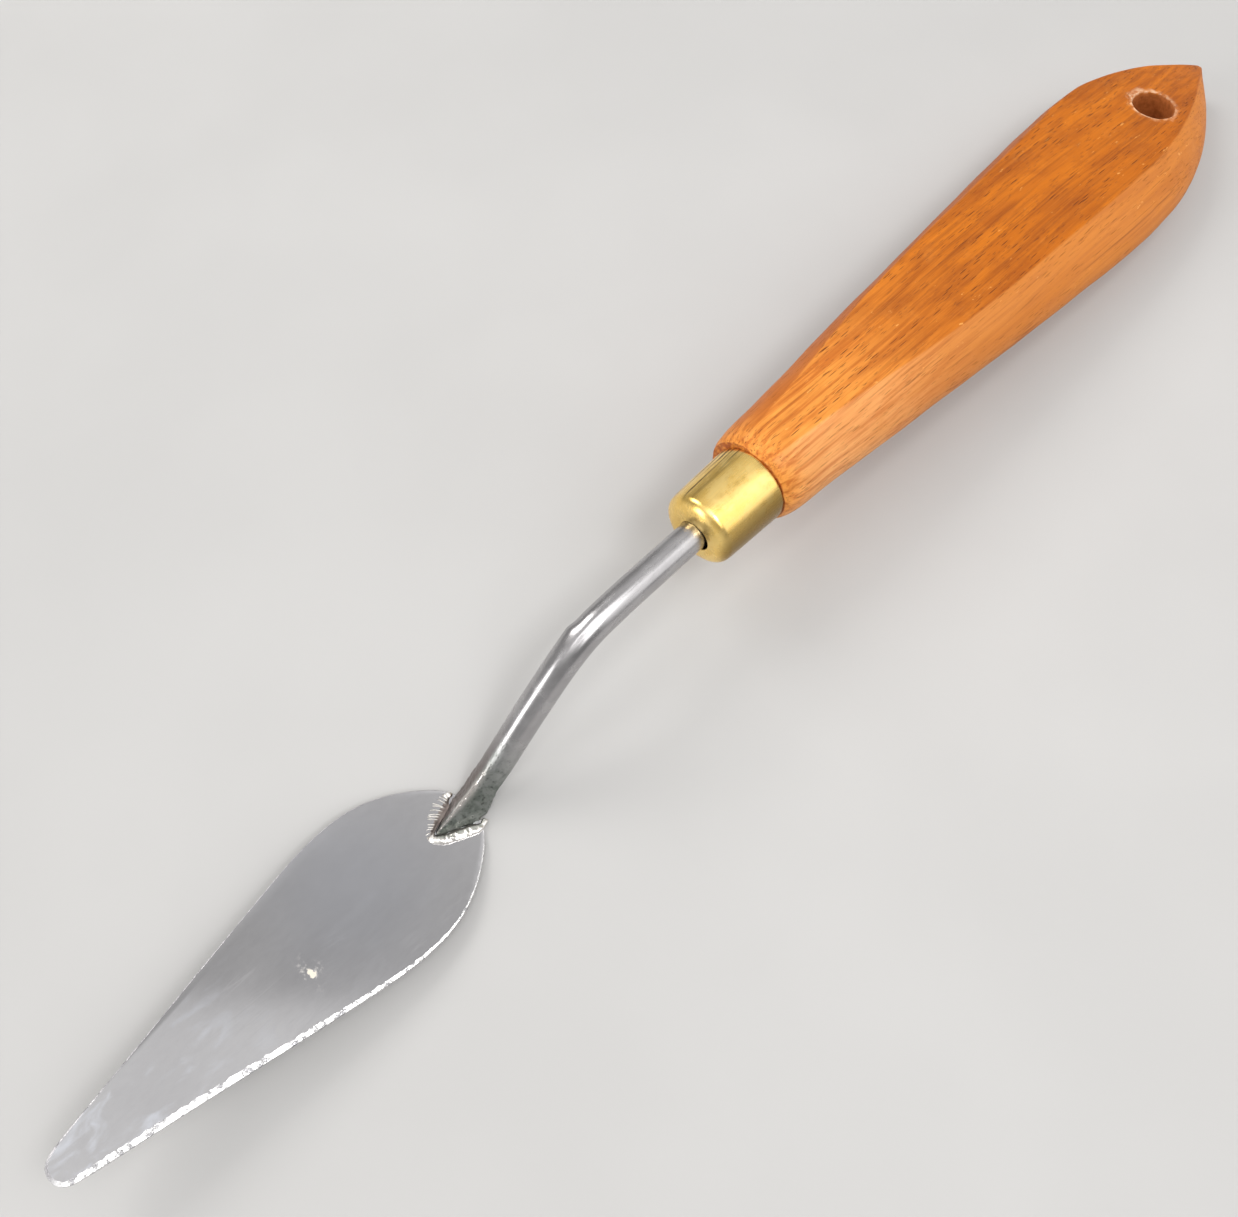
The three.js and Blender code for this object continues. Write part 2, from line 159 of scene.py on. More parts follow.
def sharpen(o, degrees):
    """Edges between faces that meet at more than this are hard."""
    bm = bmesh.new()
    bm.from_mesh(o.data)
    for e in bm.edges:
        e.smooth = not (len(e.link_faces) == 2 and e.calc_face_angle(0) > math.radians(degrees))
    bm.to_mesh(o.data)
    bm.free()


def loft(name, rings, cap_start=None, cap_end=None, closed_rings=False):
    """rings[n, m, 3] around a path. Caps are points in the middle of the first and last ring."""
    n, m = len(rings), len(rings[0])
    v = [p for r in rings for p in r]
    f = []
    last = n if closed_rings else n - 1
    for i in range(last):
        i2 = (i + 1) % n
        for j in range(m):
            j2 = (j + 1) % m
            f.append((i * m + j, i * m + j2, i2 * m + j2, i2 * m + j))
    if cap_start is not None:
        v.append(cap_start)
        c = len(v) - 1
        f += [(c, (j + 1) % m, j) for j in range(m)]
    if cap_end is not None:
        v.append(cap_end)
        c = len(v) - 1
        b = (n - 1) * m
        f += [(c, b + j, b + (j + 1) % m) for j in range(m)]
    return new_object(name, v, f)


def blade_to_row(u, y, z):
    """Blade's own frame, with u from the tip, to the row frame."""
    back = u - BLADE_L
    return np.stack([heel_x + back * math.cos(TILT) + z * math.sin(TILT), y + 0 * u, -back * math.sin(TILT) + z * math.cos(TILT)], -1)


def handle_to_row(x, y, z):
    c, s = math.cos(HANDLE_TILT), math.sin(HANDLE_TILT)
    return np.stack([S0 + SEAT[0] + x * c + z * s, y + 0 * x, SEAT[1] - x * s + z * c], -1)


def blade_top(x):
    return (heel_x - x) / math.cos(TILT) * math.sin(TILT) + BLADE_T / math.cos(TILT)


def boolean(o, cutter, op="DIFFERENCE"):
    mod = o.modifiers.new("cut", "BOOLEAN")
    mod.operation, mod.solver, mod.object = op, "EXACT", cutter
    bpy.context.view_layer.update()
    dg = bpy.context.evaluated_depsgraph_get()
    me = bpy.data.meshes.new_from_object(o.evaluated_get(dg))
    old = o.data
    o.modifiers.clear()
    o.data = me
    bpy.data.meshes.remove(old)
    bpy.data.objects.remove(cutter, do_unlink=True)


# ---------------------------------------------------------------- node helper
class Nodes:
    def __init__(self, name):
        self.mat = bpy.data.materials.new(name)
        self.mat.use_nodes = True
        self.t = self.mat.node_tree
        self.t.nodes.clear()
        self.out = self.t.nodes.new("ShaderNodeOutputMaterial")
        self.bsdf = self.t.nodes.new("ShaderNodeBsdfPrincipled")
        self.t.links.new(self.bsdf.outputs[0], self.out.inputs[0])
        co = self.t.nodes.new("ShaderNodeTexCoord")
        self.mm = self.math3("SCALE", co.outputs["Object"], 1000.0)  # millimetres in the row frame

    def link(self, a, b):
        self.t.links.new(a, b)

    def put(self, socket, value):
        if hasattr(value, "is_output"):
            self.link(value, socket)
        else:
            socket.default_value = value

    def math3(self, op, a, b):
        n = self.t.nodes.new("ShaderNodeVectorMath")
        n.operation = op
        self.put(n.inputs[0], a)
        if op == "SCALE":
            self.put(n.inputs["Scale"], b)
        else:
            self.put(n.inputs[1], b)
        return n.outputs["Value"] if op in ("DISTANCE", "LENGTH", "DOT_PRODUCT") else n.outputs[0]

    def math(self, op, a, b=0.0, c=None, clamp=False):
        n = self.t.nodes.new("ShaderNodeMath")
        n.operation, n.use_clamp = op, clamp
        self.put(n.inputs[0], a)
        self.put(n.inputs[1], b)
        if c is not None:
            self.put(n.inputs[2], c)
        return n.outputs[0]

    def mapping(self, scale=(1, 1, 1), rotation=(0, 0, 0), location=(0, 0, 0), vector=None):
        n = self.t.nodes.new("ShaderNodeMapping")
        n.inputs["Scale"].default_value = scale
        n.inputs["Rotation"].default_value = rotation
        n.inputs["Location"].default_value = location
        self.link(vector or self.mm, n.inputs["Vector"])
        return n.outputs[0]

    def noise(self, vector, scale, detail=4.0, rough=0.5, distortion=0.0, lac=2.0):
        n = self.t.nodes.new("ShaderNodeTexNoise")
        self.link(vector, n.inputs["Vector"])
        n.inputs["Scale"].default_value = scale
        n.inputs["Detail"].default_value = detail
        n.inputs["Roughness"].default_value = rough
        n.inputs["Distortion"].default_value = distortion
        n.inputs["Lacunarity"].default_value = lac
        return n.outputs["Fac"]

    def voronoi(self, vector, scale, feature="F1", rnd=1.0):
        n = self.t.nodes.new("ShaderNodeTexVoronoi")
        n.feature = feature
        self.link(vector, n.inputs["Vector"])
        n.inputs["Scale"].default_value = scale
        n.inputs["Randomness"].default_value = rnd
        return n.outputs["Distance"]

    def ramp(self, fac, stops, interpolation="LINEAR"):
        n = self.t.nodes.new("ShaderNodeValToRGB")
        n.color_ramp.interpolation = interpolation
        e = n.color_ramp.elements
        while len(e) > 1:
            e.remove(e[-1])
        e[0].position, e[0].color = stops[0][0], self.rgba(stops[0][1])
        for p, c in stops[1:]:
            x = e.new(p)
            x.color = self.rgba(c)
        self.link(fac, n.inputs[0])
        return n.outputs[0]

    @staticmethod
    def rgba(c):
        return (c, c, c, 1) if isinstance(c, (int, float)) else (*c, 1) if len(c) == 3 else c

    def map(self, value, a, b, c=0.0, d=1.0, smooth=True):
        n = self.t.nodes.new("ShaderNodeMapRange")
        n.interpolation_type = "SMOOTHSTEP" if smooth else "LINEAR"
        for k, x in zip(("From Min", "From Max", "To Min", "To Max"), (a, b, c, d)):
            n.inputs[k].default_value = x
        self.put(n.inputs["Value"], value)
        return n.outputs[0]

    def mix(self, fac, a, b, blend="MIX"):
        n = self.t.nodes.new("ShaderNodeMix")
        n.data_type, n.blend_type, n.clamp_factor = "RGBA", blend, True
        self.put(n.inputs[0], fac)
        for s, v in ((n.inputs[6], a), (n.inputs[7], b)):
            self.put(s, self.rgba(v) if not hasattr(v, "is_output") else v)
        return n.outputs[2]

    def bump(self, height, strength, distance_mm, normal=None):
        n = self.t.nodes.new("ShaderNodeBump")
        n.inputs["Strength"].default_value = strength
        n.inputs["Distance"].default_value = distance_mm * 0.001
        self.link(height, n.inputs["Height"])
        if normal is not None:
            self.link(normal, n.inputs["Normal"])
        return n.outputs[0]

    def attribute(self, name):
        n = self.t.nodes.new("ShaderNodeAttribute")
        n.attribute_name = name
        return n.outputs["Fac"]

    def xyz(self, vector=None):
        n = self.t.nodes.new("ShaderNodeSeparateXYZ")
        self.link(vector or self.mm, n.inputs[0])
        return n.outputs

    def set(self, **kw):
        for k, v in kw.items():
            self.put(self.bsdf.inputs[k.replace("_", " ")], v)
        return self


def srgb(r, g, b):
    f = lambda c: (c / 255) / 12.92 if c <= 10 else (((c / 255) + 0.055) / 1.055) ** 2.4
    return (f(r), f(g), f(b))


def spot(n, x, y, z, r0, r1):
    """1 near a place in mm, fading to 0 between r0 and r1."""
    d = n.math3("DISTANCE", n.mm, (x, y, z))
    return n.map(d, r0, r1, 1.0, 0.0)


# ---------------------------------------------------------------- materials
def steel_blade():
    n = Nodes("blade_steel")
    cloud = n.noise(n.mapping((0.07, 0.11, 0.1)), 1.0, 3, 0.55)
    fine = n.noise(n.mapping((1.0, 1.6, 1.0)), 1.0, 5, 0.6)
    grind = n.noise(n.mapping((0.35, 14.0, 3.0), (0, 0, 0.12)), 1.0, 3, 0.6)
    grind2 = n.noise(n.mapping((9.0, 0.5, 3.0), (0, 0, 0.5)), 1.0, 3, 0.6)
    x = n.xyz()
    # a few long hair scratches
    scratch = None
    for k, (rot, sc, th) in enumerate([(0.32, 0.9, 0.017), (-0.55, 0.6, 0.012), (1.25, 0.7, 0.012), (0.05, 1.3, 0.014)]):
        v = n.mapping((0.05, 1.0, 0.2), (0, 0, rot), (3.1 * k, 7.7 * k, 0))
        w = n.noise(n.mapping((0.9, 0.9, 0.9), (0, 0, 0), (11 * k, 3, 0)), 0.12, 2, 0.5)
        d = n.math("ABSOLUTE", n.math("SUBTRACT", n.noise(v, sc, 1, 0.3), 0.5))
        s = n.math("MULTIPLY", n.map(d, 0.0, th, 1.0, 0.0), n.map(w, 0.52, 0.66))
        scratch = s if scratch is None else n.math("MAXIMUM", scratch, s)
    # dried film and pale smears towards the tip
    near_tip = n.map(x[0], -78.0, -96.0)
    smear = n.noise(n.mapping((0.16, 0.42, 0.2), (0, 0, -0.75), (5, 2, 0)), 1.0, 5, 0.62, 0.6)
    smear = n.math("MULTIPLY", n.map(smear, 0.5, 0.68), n.math("ADD", n.math("MULTIPLY", near_tip, 0.85), 0.07), clamp=True)
    # a crumb of dried paint, ragged, with fainter crumbs and a wiped trail beside it
    shake = n.noise(n.mapping((1.0, 1.0, 0.2), (0, 0, 0), (6, 1, 0)), 1.7, 5, 0.72)
    ragged = n.math("ADD", n.math3("DISTANCE", n.mapping((1.7, 1.0, 0.0)), (-75.7 * 1.7, -2.3, 0.0)), n.math("MULTIPLY", n.math("SUBTRACT", shake, 0.5), 2.4))
    speck = n.map(ragged, 0.28, 0.62, 1.0, 0.0)
    trail = n.math("MULTIPLY", n.map(ragged, 0.8, 3.0, 0.55, 0.0), n.map(n.noise(n.mm, 1.2, 5, 0.7), 0.52, 0.66))
    speck = n.math("MAXIMUM", speck, n.math("MULTIPLY", trail, 0.6))
    dust = n.math("MULTIPLY", n.map(n.noise(n.mm, 1.1, 4, 0.7), 0.70, 0.78), 0.35)
    base = n.mix(n.map(cloud, 0.3, 0.7), srgb(203, 202, 204), srgb(211, 210, 212))
    base = n.mix(n.math("MULTIPLY", n.map(fine, 0.35, 0.75), 0.10), base, srgb(178, 176, 180))
    cool = spot(n, -66.0, 2.0, 6.0, 2.0, 15.0)
    base = n.mix(n.math("MULTIPLY", cool, 0.55), base, srgb(200, 202, 210))
    base = n.mix(n.math("MULTIPLY", smear, 0.7), base, srgb(224, 227, 236))
    base = n.mix(dust, base, srgb(222, 222, 226))
    base = n.mix(speck, base, srgb(224, 215, 200))
    rough = n.math("ADD", n.map(cloud, 0.3, 0.75, 0.09, 0.12), n.math("MULTIPLY", n.math("SUBTRACT", grind, 0.5), 0.05))
    rough = n.math("ADD", rough, n.math("MULTIPLY", smear, 0.06))
    rough = n.math("ADD", rough, n.math("MULTIPLY", speck, 0.4))
    rough = n.math("ADD", rough, n.math("MULTIPLY", scratch, 0.05))
    h = n.math("ADD", n.math("MULTIPLY", grind, 0.6), n.math("MULTIPLY", grind2, 0.4))
    h = n.math("SUBTRACT", h, n.math("MULTIPLY", scratch, 0.7))
    h = n.math("ADD", h, n.math("MULTIPLY", speck, 0.6))
    n.set(Base_Color=base, Roughness=rough, Metallic=n.math("SUBTRACT", 1.0, n.math("MULTIPLY", n.math("MAXIMUM", speck, n.math("MULTIPLY", smear, 0.15)), 0.85)))
    n.put(n.bsdf.inputs["Normal"], n.bump(h, 0.12, 0.004))
    return n.mat


def steel_edge():
    n = Nodes("ground_edge")
    x = n.xyz()
    across = n.noise(n.mapping((1.2, 1.2, 1.2)), 1.0, 4, 0.6)
    lines = n.noise(n.mapping((0.9, 9.0, 9.0), (0, 0, 0.25)), 1.0, 2, 0.5)
    wear = n.noise(n.mapping((0.35, 0.35, 0.35)), 1.0, 3, 0.55)
    # short stretches where the stone missed, and a rougher +Y edge that is also painted darker as painted shade
    dull = n.math("MULTIPLY", n.map(n.noise(n.mapping((1.0, 1.0, 1.0), (0, 0, 0), (4, 9, 1)), 1.1, 5, 0.68), 0.51, 0.62), 0.85)
    far_edge_shade_and_dull = n.map(x[1], -0.8, 0.2)
    base = n.mix(n.map(across, 0.35, 0.7), srgb(222, 221, 222), srgb(244, 243, 242))
    base = n.mix(dull, base, srgb(138, 137, 141))
    # painted shade: the colour of the +Y ground edge is darkened
    base = n.mix(n.math("MULTIPLY", far_edge_shade_and_dull, 0.8), base, srgb(168, 166, 169))
    rough = n.math("ADD", n.map(wear, 0.3, 0.7, 0.16, 0.30), n.math("MULTIPLY", lines, 0.06))
    rough = n.math("ADD", rough, n.math("MULTIPLY", far_edge_shade_and_dull, 0.12))
    n.set(Base_Color=base, Roughness=rough, Metallic=1.0)
    n.put(n.bsdf.inputs["Normal"], n.bump(n.math("ADD", n.math("ADD", lines, n.math("MULTIPLY", across, 0.8)), n.math("MULTIPLY", dull, 1.6)), 0.7, 0.045))
    return n.mat


def steel_rod():
    n = Nodes("shank_steel")
    x = n.xyz()
    cloud = n.noise(n.mapping((0.25, 0.4, 0.4)), 1.0, 4, 0.55)
    draw = n.noise(n.mapping((0.25, 6.0, 6.0), (0, 0.55, 0)), 1.0, 4, 0.6)
    fine = n.noise(n.mm, 2.2, 6, 0.65)
    # heat-dulled, pitted metal on the facets of the foot
    foot = n.map(x[0], S0 + 65.0, S0 + 56.5)
    pit = n.voronoi(n.mapping((1.0, 1.0, 1.0)), 2.1, "SMOOTH_F1")
    pits = n.math("MULTIPLY", n.map(pit, 0.05, 0.34, 1.0, 0.0), foot)
    blotch = n.math("MULTIPLY", n.map(n.noise(n.mm, 0.75, 5, 0.62, 0.4), 0.42, 0.62), foot)
    ridge = n.attribute("ridge")
    facet = n.math("MULTIPLY", foot, n.math("SUBTRACT", 1.0, ridge), clamp=True)
    base = n.mix(n.map(cloud, 0.3, 0.7), srgb(171, 169, 170), srgb(186, 184, 185))
    shade = n.map(x[1], 0.1, 0.7)
    base = n.mix(n.math("MULTIPLY", facet, 0.75), base, n.mix(shade, srgb(124, 131, 124), srgb(116, 102, 96)))
    base = n.mix(n.math("MULTIPLY", n.math("MULTIPLY", blotch, n.math("SUBTRACT", 1.0, n.math("MULTIPLY", shade, 0.7))), 0.55), base, srgb(80, 90, 82))
    base = n.mix(n.math("MULTIPLY", n.math("MULTIPLY", pits, n.math("SUBTRACT", 1.0, n.math("MULTIPLY", shade, 0.6))), 0.6), base, srgb(50, 54, 48))
    # painted highlight: the ridge of the foot is coloured near white
    base = n.mix(ridge, base, srgb(232, 226, 220))
    small = n.math("MULTIPLY", n.map(n.noise(n.mm, 1.4, 3, 0.5), 0.68, 0.76), n.map(x[0], S0 + 80, S0 + 66, 0.15, 0.8))
    base = n.mix(n.math("MULTIPLY", small, 0.45), base, srgb(90, 88, 88))
    rough = n.math("ADD", n.map(cloud, 0.3, 0.7, 0.23, 0.29), n.math("MULTIPLY", n.math("SUBTRACT", draw, 0.5), 0.05))
    rough = n.math("ADD", rough, n.math("MULTIPLY", facet, 0.17))
    rough = n.math("SUBTRACT", rough, n.math("MULTIPLY", ridge, 0.06))
    h = n.math("ADD", n.math("MULTIPLY", draw, 0.14), n.math("MULTIPLY", n.math("MULTIPLY", fine, foot), 2.6))
    h = n.math("SUBTRACT", h, n.math("MULTIPLY", pits, 2.4))
    h = n.math("SUBTRACT", h, n.math("MULTIPLY", small, 0.8))
    n.set(Base_Color=base, Roughness=rough, Metallic=1.0)
    n.put(n.bsdf.inputs["Normal"], n.bump(h, 0.6, 0.03))
    return n.mat


def weld_metal():
    n = Nodes("weld_metal")
    x = n.xyz()
    cloud = n.noise(n.mm, 0.9, 4, 0.6)
    fine = n.noise(n.mm, 3.2, 5, 0.6)
    soot = n.math("MULTIPLY", n.map(n.noise(n.mm, 1.5, 4, 0.6), 0.5, 0.66), n.map(x[1], -0.6, 1.4, 0.25, 0.75))
    fillet = n.attribute("fillet")
    base = n.mix(n.map(cloud, 0.3, 0.7), srgb(236, 232, 228), srgb(250, 247, 242))
    base = n.mix(n.math("MULTIPLY", soot, 0.7), base, srgb(150, 142, 135))
    base = n.mix(fillet, base, n.mix(n.map(cloud, 0.35, 0.65), srgb(92, 84, 81), srgb(118, 110, 106)))
    n.set(Base_Color=base, Roughness=n.math("ADD", n.map(cloud, 0.3, 0.7, 0.26, 0.40), n.math("MULTIPLY", fillet, 0.1)), Metallic=1.0)
    n.put(n.bsdf.inputs["Normal"], n.bump(n.math("ADD", n.math("MULTIPLY", cloud, 1.4), n.math("MULTIPLY", fine, 0.5)), 0.45, 0.06))
    return n.mat


def brass():
    n = Nodes("ferrule_brass")
    v = n.mapping((1, 1, 1), (0, -HANDLE_TILT, 0))
    cloud = n.noise(n.mapping((0.35, 0.5, 0.5)), 1.0, 4, 0.6)
    # drawing marks run along the cap, so they are laid out by the distance round it
    around = n.t.nodes.new("ShaderNodeCombineXYZ")
    vx = n.xyz(v)
    n.link(vx[0], around.inputs[0])
    n.link(n.attribute("around"), around.inputs[1])
    streak = n.noise(n.mapping((0.05, 1.9, 1.0), (0, 0, 0), (0, 3.3, 0), around.outputs[0]), 1.0, 3, 0.6)
    hair = n.noise(n.mapping((0.12, 9.0, 1.0), (0, 0, 0), (4, 0, 0), around.outputs[0]), 1.0, 3, 0.55)
    x = n.xyz()
    side = n.map(x[1], 1.2, 2.8)
    dark = n.math("MULTIPLY", n.map(streak, 0.515, 0.575), n.math("ADD", n.math("MULTIPLY", side, 0.95), 0.05))
    dark = n.math("MAXIMUM", dark, n.math("MULTIPLY", n.map(hair, 0.56, 0.66), n.math("ADD", n.math("MULTIPLY", side, 0.6), 0.12)))
    dark = n.math("MULTIPLY", dark, n.map(x[0], -10.9, -8.4))
    tarnish = n.math("MULTIPLY", n.map(n.noise(n.mm, 0.55, 5, 0.65), 0.52, 0.72), 0.35)
    base = n.mix(n.map(cloud, 0.3, 0.7), srgb(252, 210, 118), srgb(255, 221, 140))
    base = n.mix(dark, base, srgb(98, 70, 30))
    # painted shade: the colour of the -Y side of the ferrule is darkened
    minus_y_painted_shade = n.map(x[1], -3.4, -4.9)
    base = n.mix(tarnish, base, srgb(206, 164, 84))
    base = n.mix(n.math("MULTIPLY", minus_y_painted_shade, 0.85), base, srgb(126, 99, 50))
    rough = n.math("ADD", n.map(cloud, 0.3, 0.75, 0.24, 0.33), n.math("MULTIPLY", dark, 0.14))
    rough = n.math("ADD", rough, n.math("MULTIPLY", n.math("SUBTRACT", hair, 0.5), 0.10))
    h = n.math("ADD", n.math("MULTIPLY", hair, 0.5), n.math("MULTIPLY", streak, 0.9))
    n.set(Base_Color=base, Roughness=rough, Metallic=1.0)
    n.put(n.bsdf.inputs["Normal"], n.bump(h, 0.35, 0.02))
    return n.mat


def wood():
    n = Nodes("varnished_wood")
    x = n.xyz()
    # the grain runs along the handle and bows a little
    bow = n.noise(n.mapping((0.010, 0.025, 0.025)), 1.0, 2, 0.5)
    warp = n.mapping((1, 1, 1), (0, -HANDLE_TILT, 0.015))
    wv = n.t.nodes.new("ShaderNodeCombineXYZ")
    wp = n.xyz(warp)
    n.link(wp[0], wv.inputs[0])
    n.put(wv.inputs[1], n.math("ADD", wp[1], n.math("MULTIPLY", bow, 4.0)))
    n.put(wv.inputs[2], n.math("ADD", wp[2], n.math("MULTIPLY", bow, 1.0)))
    g = wv.outputs[0]
    band = n.noise(n.mapping((0.010, 0.20, 0.20), vector=g), 1.0, 3, 0.55, 0.2)
    fibre = n.noise(n.mapping((0.05, 1.7, 1.7), vector=g), 1.0, 5, 0.62)
    silk = n.noise(n.mapping((0.16, 6.5, 6.5), vector=g), 1.0, 4, 0.6)
    # open pores: short dark dashes along the grain, in bands
    pv = n.mapping((0.24, 3.4, 3.4), vector=g)
    pore = n.voronoi(pv, 1.0, "F1")
    pore2 = n.voronoi(n.mapping((0.42, 5.2, 5.2), (0, 0, 0), (3.3, 1.7, 0.4), vector=g), 1.0, "F1")
    where = n.noise(n.mapping((0.05, 0.30, 0.30), (0, 0, 0), (9, 4, 2), vector=g), 1.0, 3, 0.6)
    pores = n.math("MULTIPLY", n.map(pore, 0.14, 0.26, 1.0, 0.0), n.map(where, 0.38, 0.56, 0.04, 1.0))
    pores2 = n.math("MULTIPLY", n.map(pore2, 0.11, 0.22, 1.0, 0.0), n.map(where, 0.32, 0.54, 0.12, 0.8))
    pores = n.math("MAXIMUM", pores, pores2)
    line = n.noise(n.mapping((0.030, 2.4, 2.4), (0, 0, 0), (1, 5, 2), vector=g), 1.0, 3, 0.6)
    lines = n.math("MULTIPLY", n.map(line, 0.55, 0.68), n.map(n.noise(n.mapping((0.03, 0.22, 0.22), (0, 0, 0), (3, 1, 6), vector=g), 1.0, 3, 0.6), 0.38, 0.62))
    mottle = n.noise(n.mapping((0.11, 0.30, 0.30), (0, 0, 0), (7, 7, 1), vector=g), 1.0, 5, 0.62, 0.5)
    tone = n.ramp(band, [(0.26, srgb(158, 78, 8)), (0.44, srgb(184, 98, 12)), (0.58, srgb(200, 111, 17)), (0.76, srgb(168, 84, 8))])
    tone = n.mix(n.map(mottle, 0.44, 0.66, 0.0, 0.45), tone, srgb(146, 70, 12))
    tone = n.mix(n.map(fibre, 0.42, 0.68, 0.0, 0.55), tone, srgb(132, 62, 12))
    tone = n.mix(n.map(silk, 0.45, 0.75, 0.0, 0.26), tone, srgb(208, 128, 48))
    # the facets beside the top flat are duller where the varnish has worn; the -Y facet is painted paler and pinker as
    # a painted sheen, the +Y facet darker as painted shade
    facet = n.attribute("facet")
    left = n.map(x[1], -1.5, 1.5)
    # painted sheen: the colour of the -Y facet, lightened and pinker
    pale = n.ramp(band, [(0.26, srgb(196, 116, 38)), (0.5, srgb(206, 126, 50)), (0.76, srgb(192, 110, 34))])
    pale = n.mix(n.map(fibre, 0.38, 0.68, 0.0, 0.5), pale, srgb(176, 98, 42))
    # painted shade: the colour of the +Y facet, darkened
    shaded_facet = n.mix(n.map(fibre, 0.38, 0.68, 0.0, 0.5), srgb(176, 92, 18), srgb(140, 66, 10))
    # painted shade: both facets are darkened towards the sides of the handle
    facet_painted_shade = n.attribute("facet_painted_shade")
    pale = n.mix(n.math("MULTIPLY", facet_painted_shade, 0.55), pale, srgb(176, 104, 40))
    shaded_facet = n.mix(n.math("MULTIPLY", facet_painted_shade, 0.6), shaded_facet, srgb(128, 62, 14))
    # paler towards the ferrule: painted light, a pool of light and sheen strongest at the ferrule
    painted_light_near_ferrule = n.ramp(n.map(wp[0], S0 + SEAT[0], S0 + SEAT[0] + 50.0), [(0.0, (1.0, 1.0, 1.0)), (0.30, (0.62, 0.62, 0.62)), (0.62, (0.18, 0.18, 0.18)), (1.0, (0.0, 0.0, 0.0))])
    painted_light_near_ferrule = n.math("MULTIPLY", painted_light_near_ferrule, n.map(mottle, 0.36, 0.62, 0.92, 0.62))
    tone = n.mix(painted_light_near_ferrule, tone, n.mix(n.map(fibre, 0.40, 0.66), srgb(236, 158, 72), srgb(200, 112, 42)))
    pale = n.mix(painted_light_near_ferrule, pale, n.mix(n.map(fibre, 0.40, 0.66), srgb(240, 172, 106), srgb(210, 130, 72)))
    shaded_facet = n.mix(n.math("MULTIPLY", painted_light_near_ferrule, 0.6), shaded_facet, srgb(204, 118, 44))
    tone = n.mix(facet, tone, n.mix(left, pale, shaded_facet))
    # worn spots in the varnish, and dirt in the open grain
    worn = n.math("MULTIPLY", n.map(n.noise(n.mm, 0.16, 5, 0.66), 0.55, 0.70), 0.16)
    tone = n.mix(worn, tone, srgb(214, 138, 62))
    fleck = n.map(n.noise(n.mapping((0.5, 1.3, 1.3), (0, 0, 0), (2, 8, 3), vector=g), 1.0, 4, 0.6), 0.66, 0.74)
    tone = n.mix(n.math("MULTIPLY", fleck, 0.5), tone, srgb(246, 186, 104))
    tone = n.mix(n.math("MULTIPLY", lines, 0.50), tone, srgb(122, 56, 10))
    tone = n.mix(n.math("MULTIPLY", pores, n.math("SUBTRACT", 0.82, n.math("MULTIPLY", facet, 0.42))), tone, srgb(84, 36, 8))
    # pale rim of bare wood round the hanging hole, brown wall inside it
    rim = n.attribute("rim")
    rn = n.noise(n.mm, 1.3, 4, 0.6)
    tone = n.mix(n.math("MULTIPLY", n.math("MULTIPLY", rim, n.map(rn, 0.38, 0.60, 0.1, 1.0)), n.map(x[1], -2.5, 1.5, 0.6, 1.0)), tone, srgb(240, 204, 168))
    inside = n.attribute("inside")
    tone = n.mix(inside, tone, n.mix(n.map(rn, 0.3, 0.7), srgb(158, 88, 38), srgb(186, 108, 54)))
    # chipped, dark edge where the wood meets the ferrule
    chip = n.attribute("chip")
    tone = n.mix(n.math("MULTIPLY", chip, n.map(n.noise(n.mm, 1.6, 3, 0.6), 0.34, 0.60, 0.15, 0.75)), tone, srgb(138, 60, 30))
    rough = n.math("ADD", n.map(n.noise(n.mm, 0.3, 4, 0.6), 0.3, 0.7, 0.38, 0.50), n.math("MULTIPLY", n.math("MAXIMUM", pores, inside), 0.25))
    rough = n.math("ADD", rough, n.math("MULTIPLY", facet, 0.10))
    h = n.math("ADD", n.math("MULTIPLY", fibre, 0.5), n.math("MULTIPLY", silk, 0.25))
    h = n.math("SUBTRACT", h, n.math("MULTIPLY", pores, 1.6))
    h = n.math("ADD", h, n.math("MULTIPLY", n.noise(n.mm, 0.5, 3, 0.5), 1.2))
    n.set(Base_Color=tone, Roughness=rough, Metallic=0.0)
    n.bsdf.inputs["Specular IOR Level"].default_value = 0.22
    n.bsdf.inputs["Coat Weight"].default_value = 0.06
    n.bsdf.inputs["Coat Roughness"].default_value = 0.22
    n.bsdf.inputs["Coat IOR"].default_value = 1.5
    b = n.bump(h, 0.45, 0.045)
    n.put(n.bsdf.inputs["Normal"], b)
    n.put(n.bsdf.inputs["Coat Normal"], n.bump(n.math("ADD", n.noise(n.mm, 0.5, 3, 0.5), n.math("MULTIPLY", pores, -0.5)), 0.3, 0.04))
    return n.mat


def resin():
    n = Nodes("tang_resin")
    c = n.noise(n.mm, 0.8, 4, 0.6)
    n.set(Base_Color=n.mix(n.map(c, 0.3, 0.7), srgb(84, 62, 30), srgb(128, 98, 52)), Roughness=n.map(c, 0.3, 0.7, 0.45, 0.65), Metallic=0.0)
    n.put(n.bsdf.inputs["Normal"], n.bump(c, 0.4, 0.1))
    return n.mat


M_BLADE, M_EDGE, M_ROD, M_WELD, M_BRASS, M_WOOD, M_RESIN = steel_blade(), steel_edge(), steel_rod(), weld_metal(), brass(), wood(), resin()


def float_attribute(o, name, values):
    a = o.data.attributes.get(name) or o.data.attributes.new(name, "FLOAT", "POINT")
    a.data.foreach_set("value", np.asarray(values, np.float32))


def coords_mm(o):
    co = np.zeros(len(o.data.vertices) * 3, np.float32)
    o.data.vertices.foreach_get("co", co)
    return co.reshape(-1, 3).astype(float) * 1000


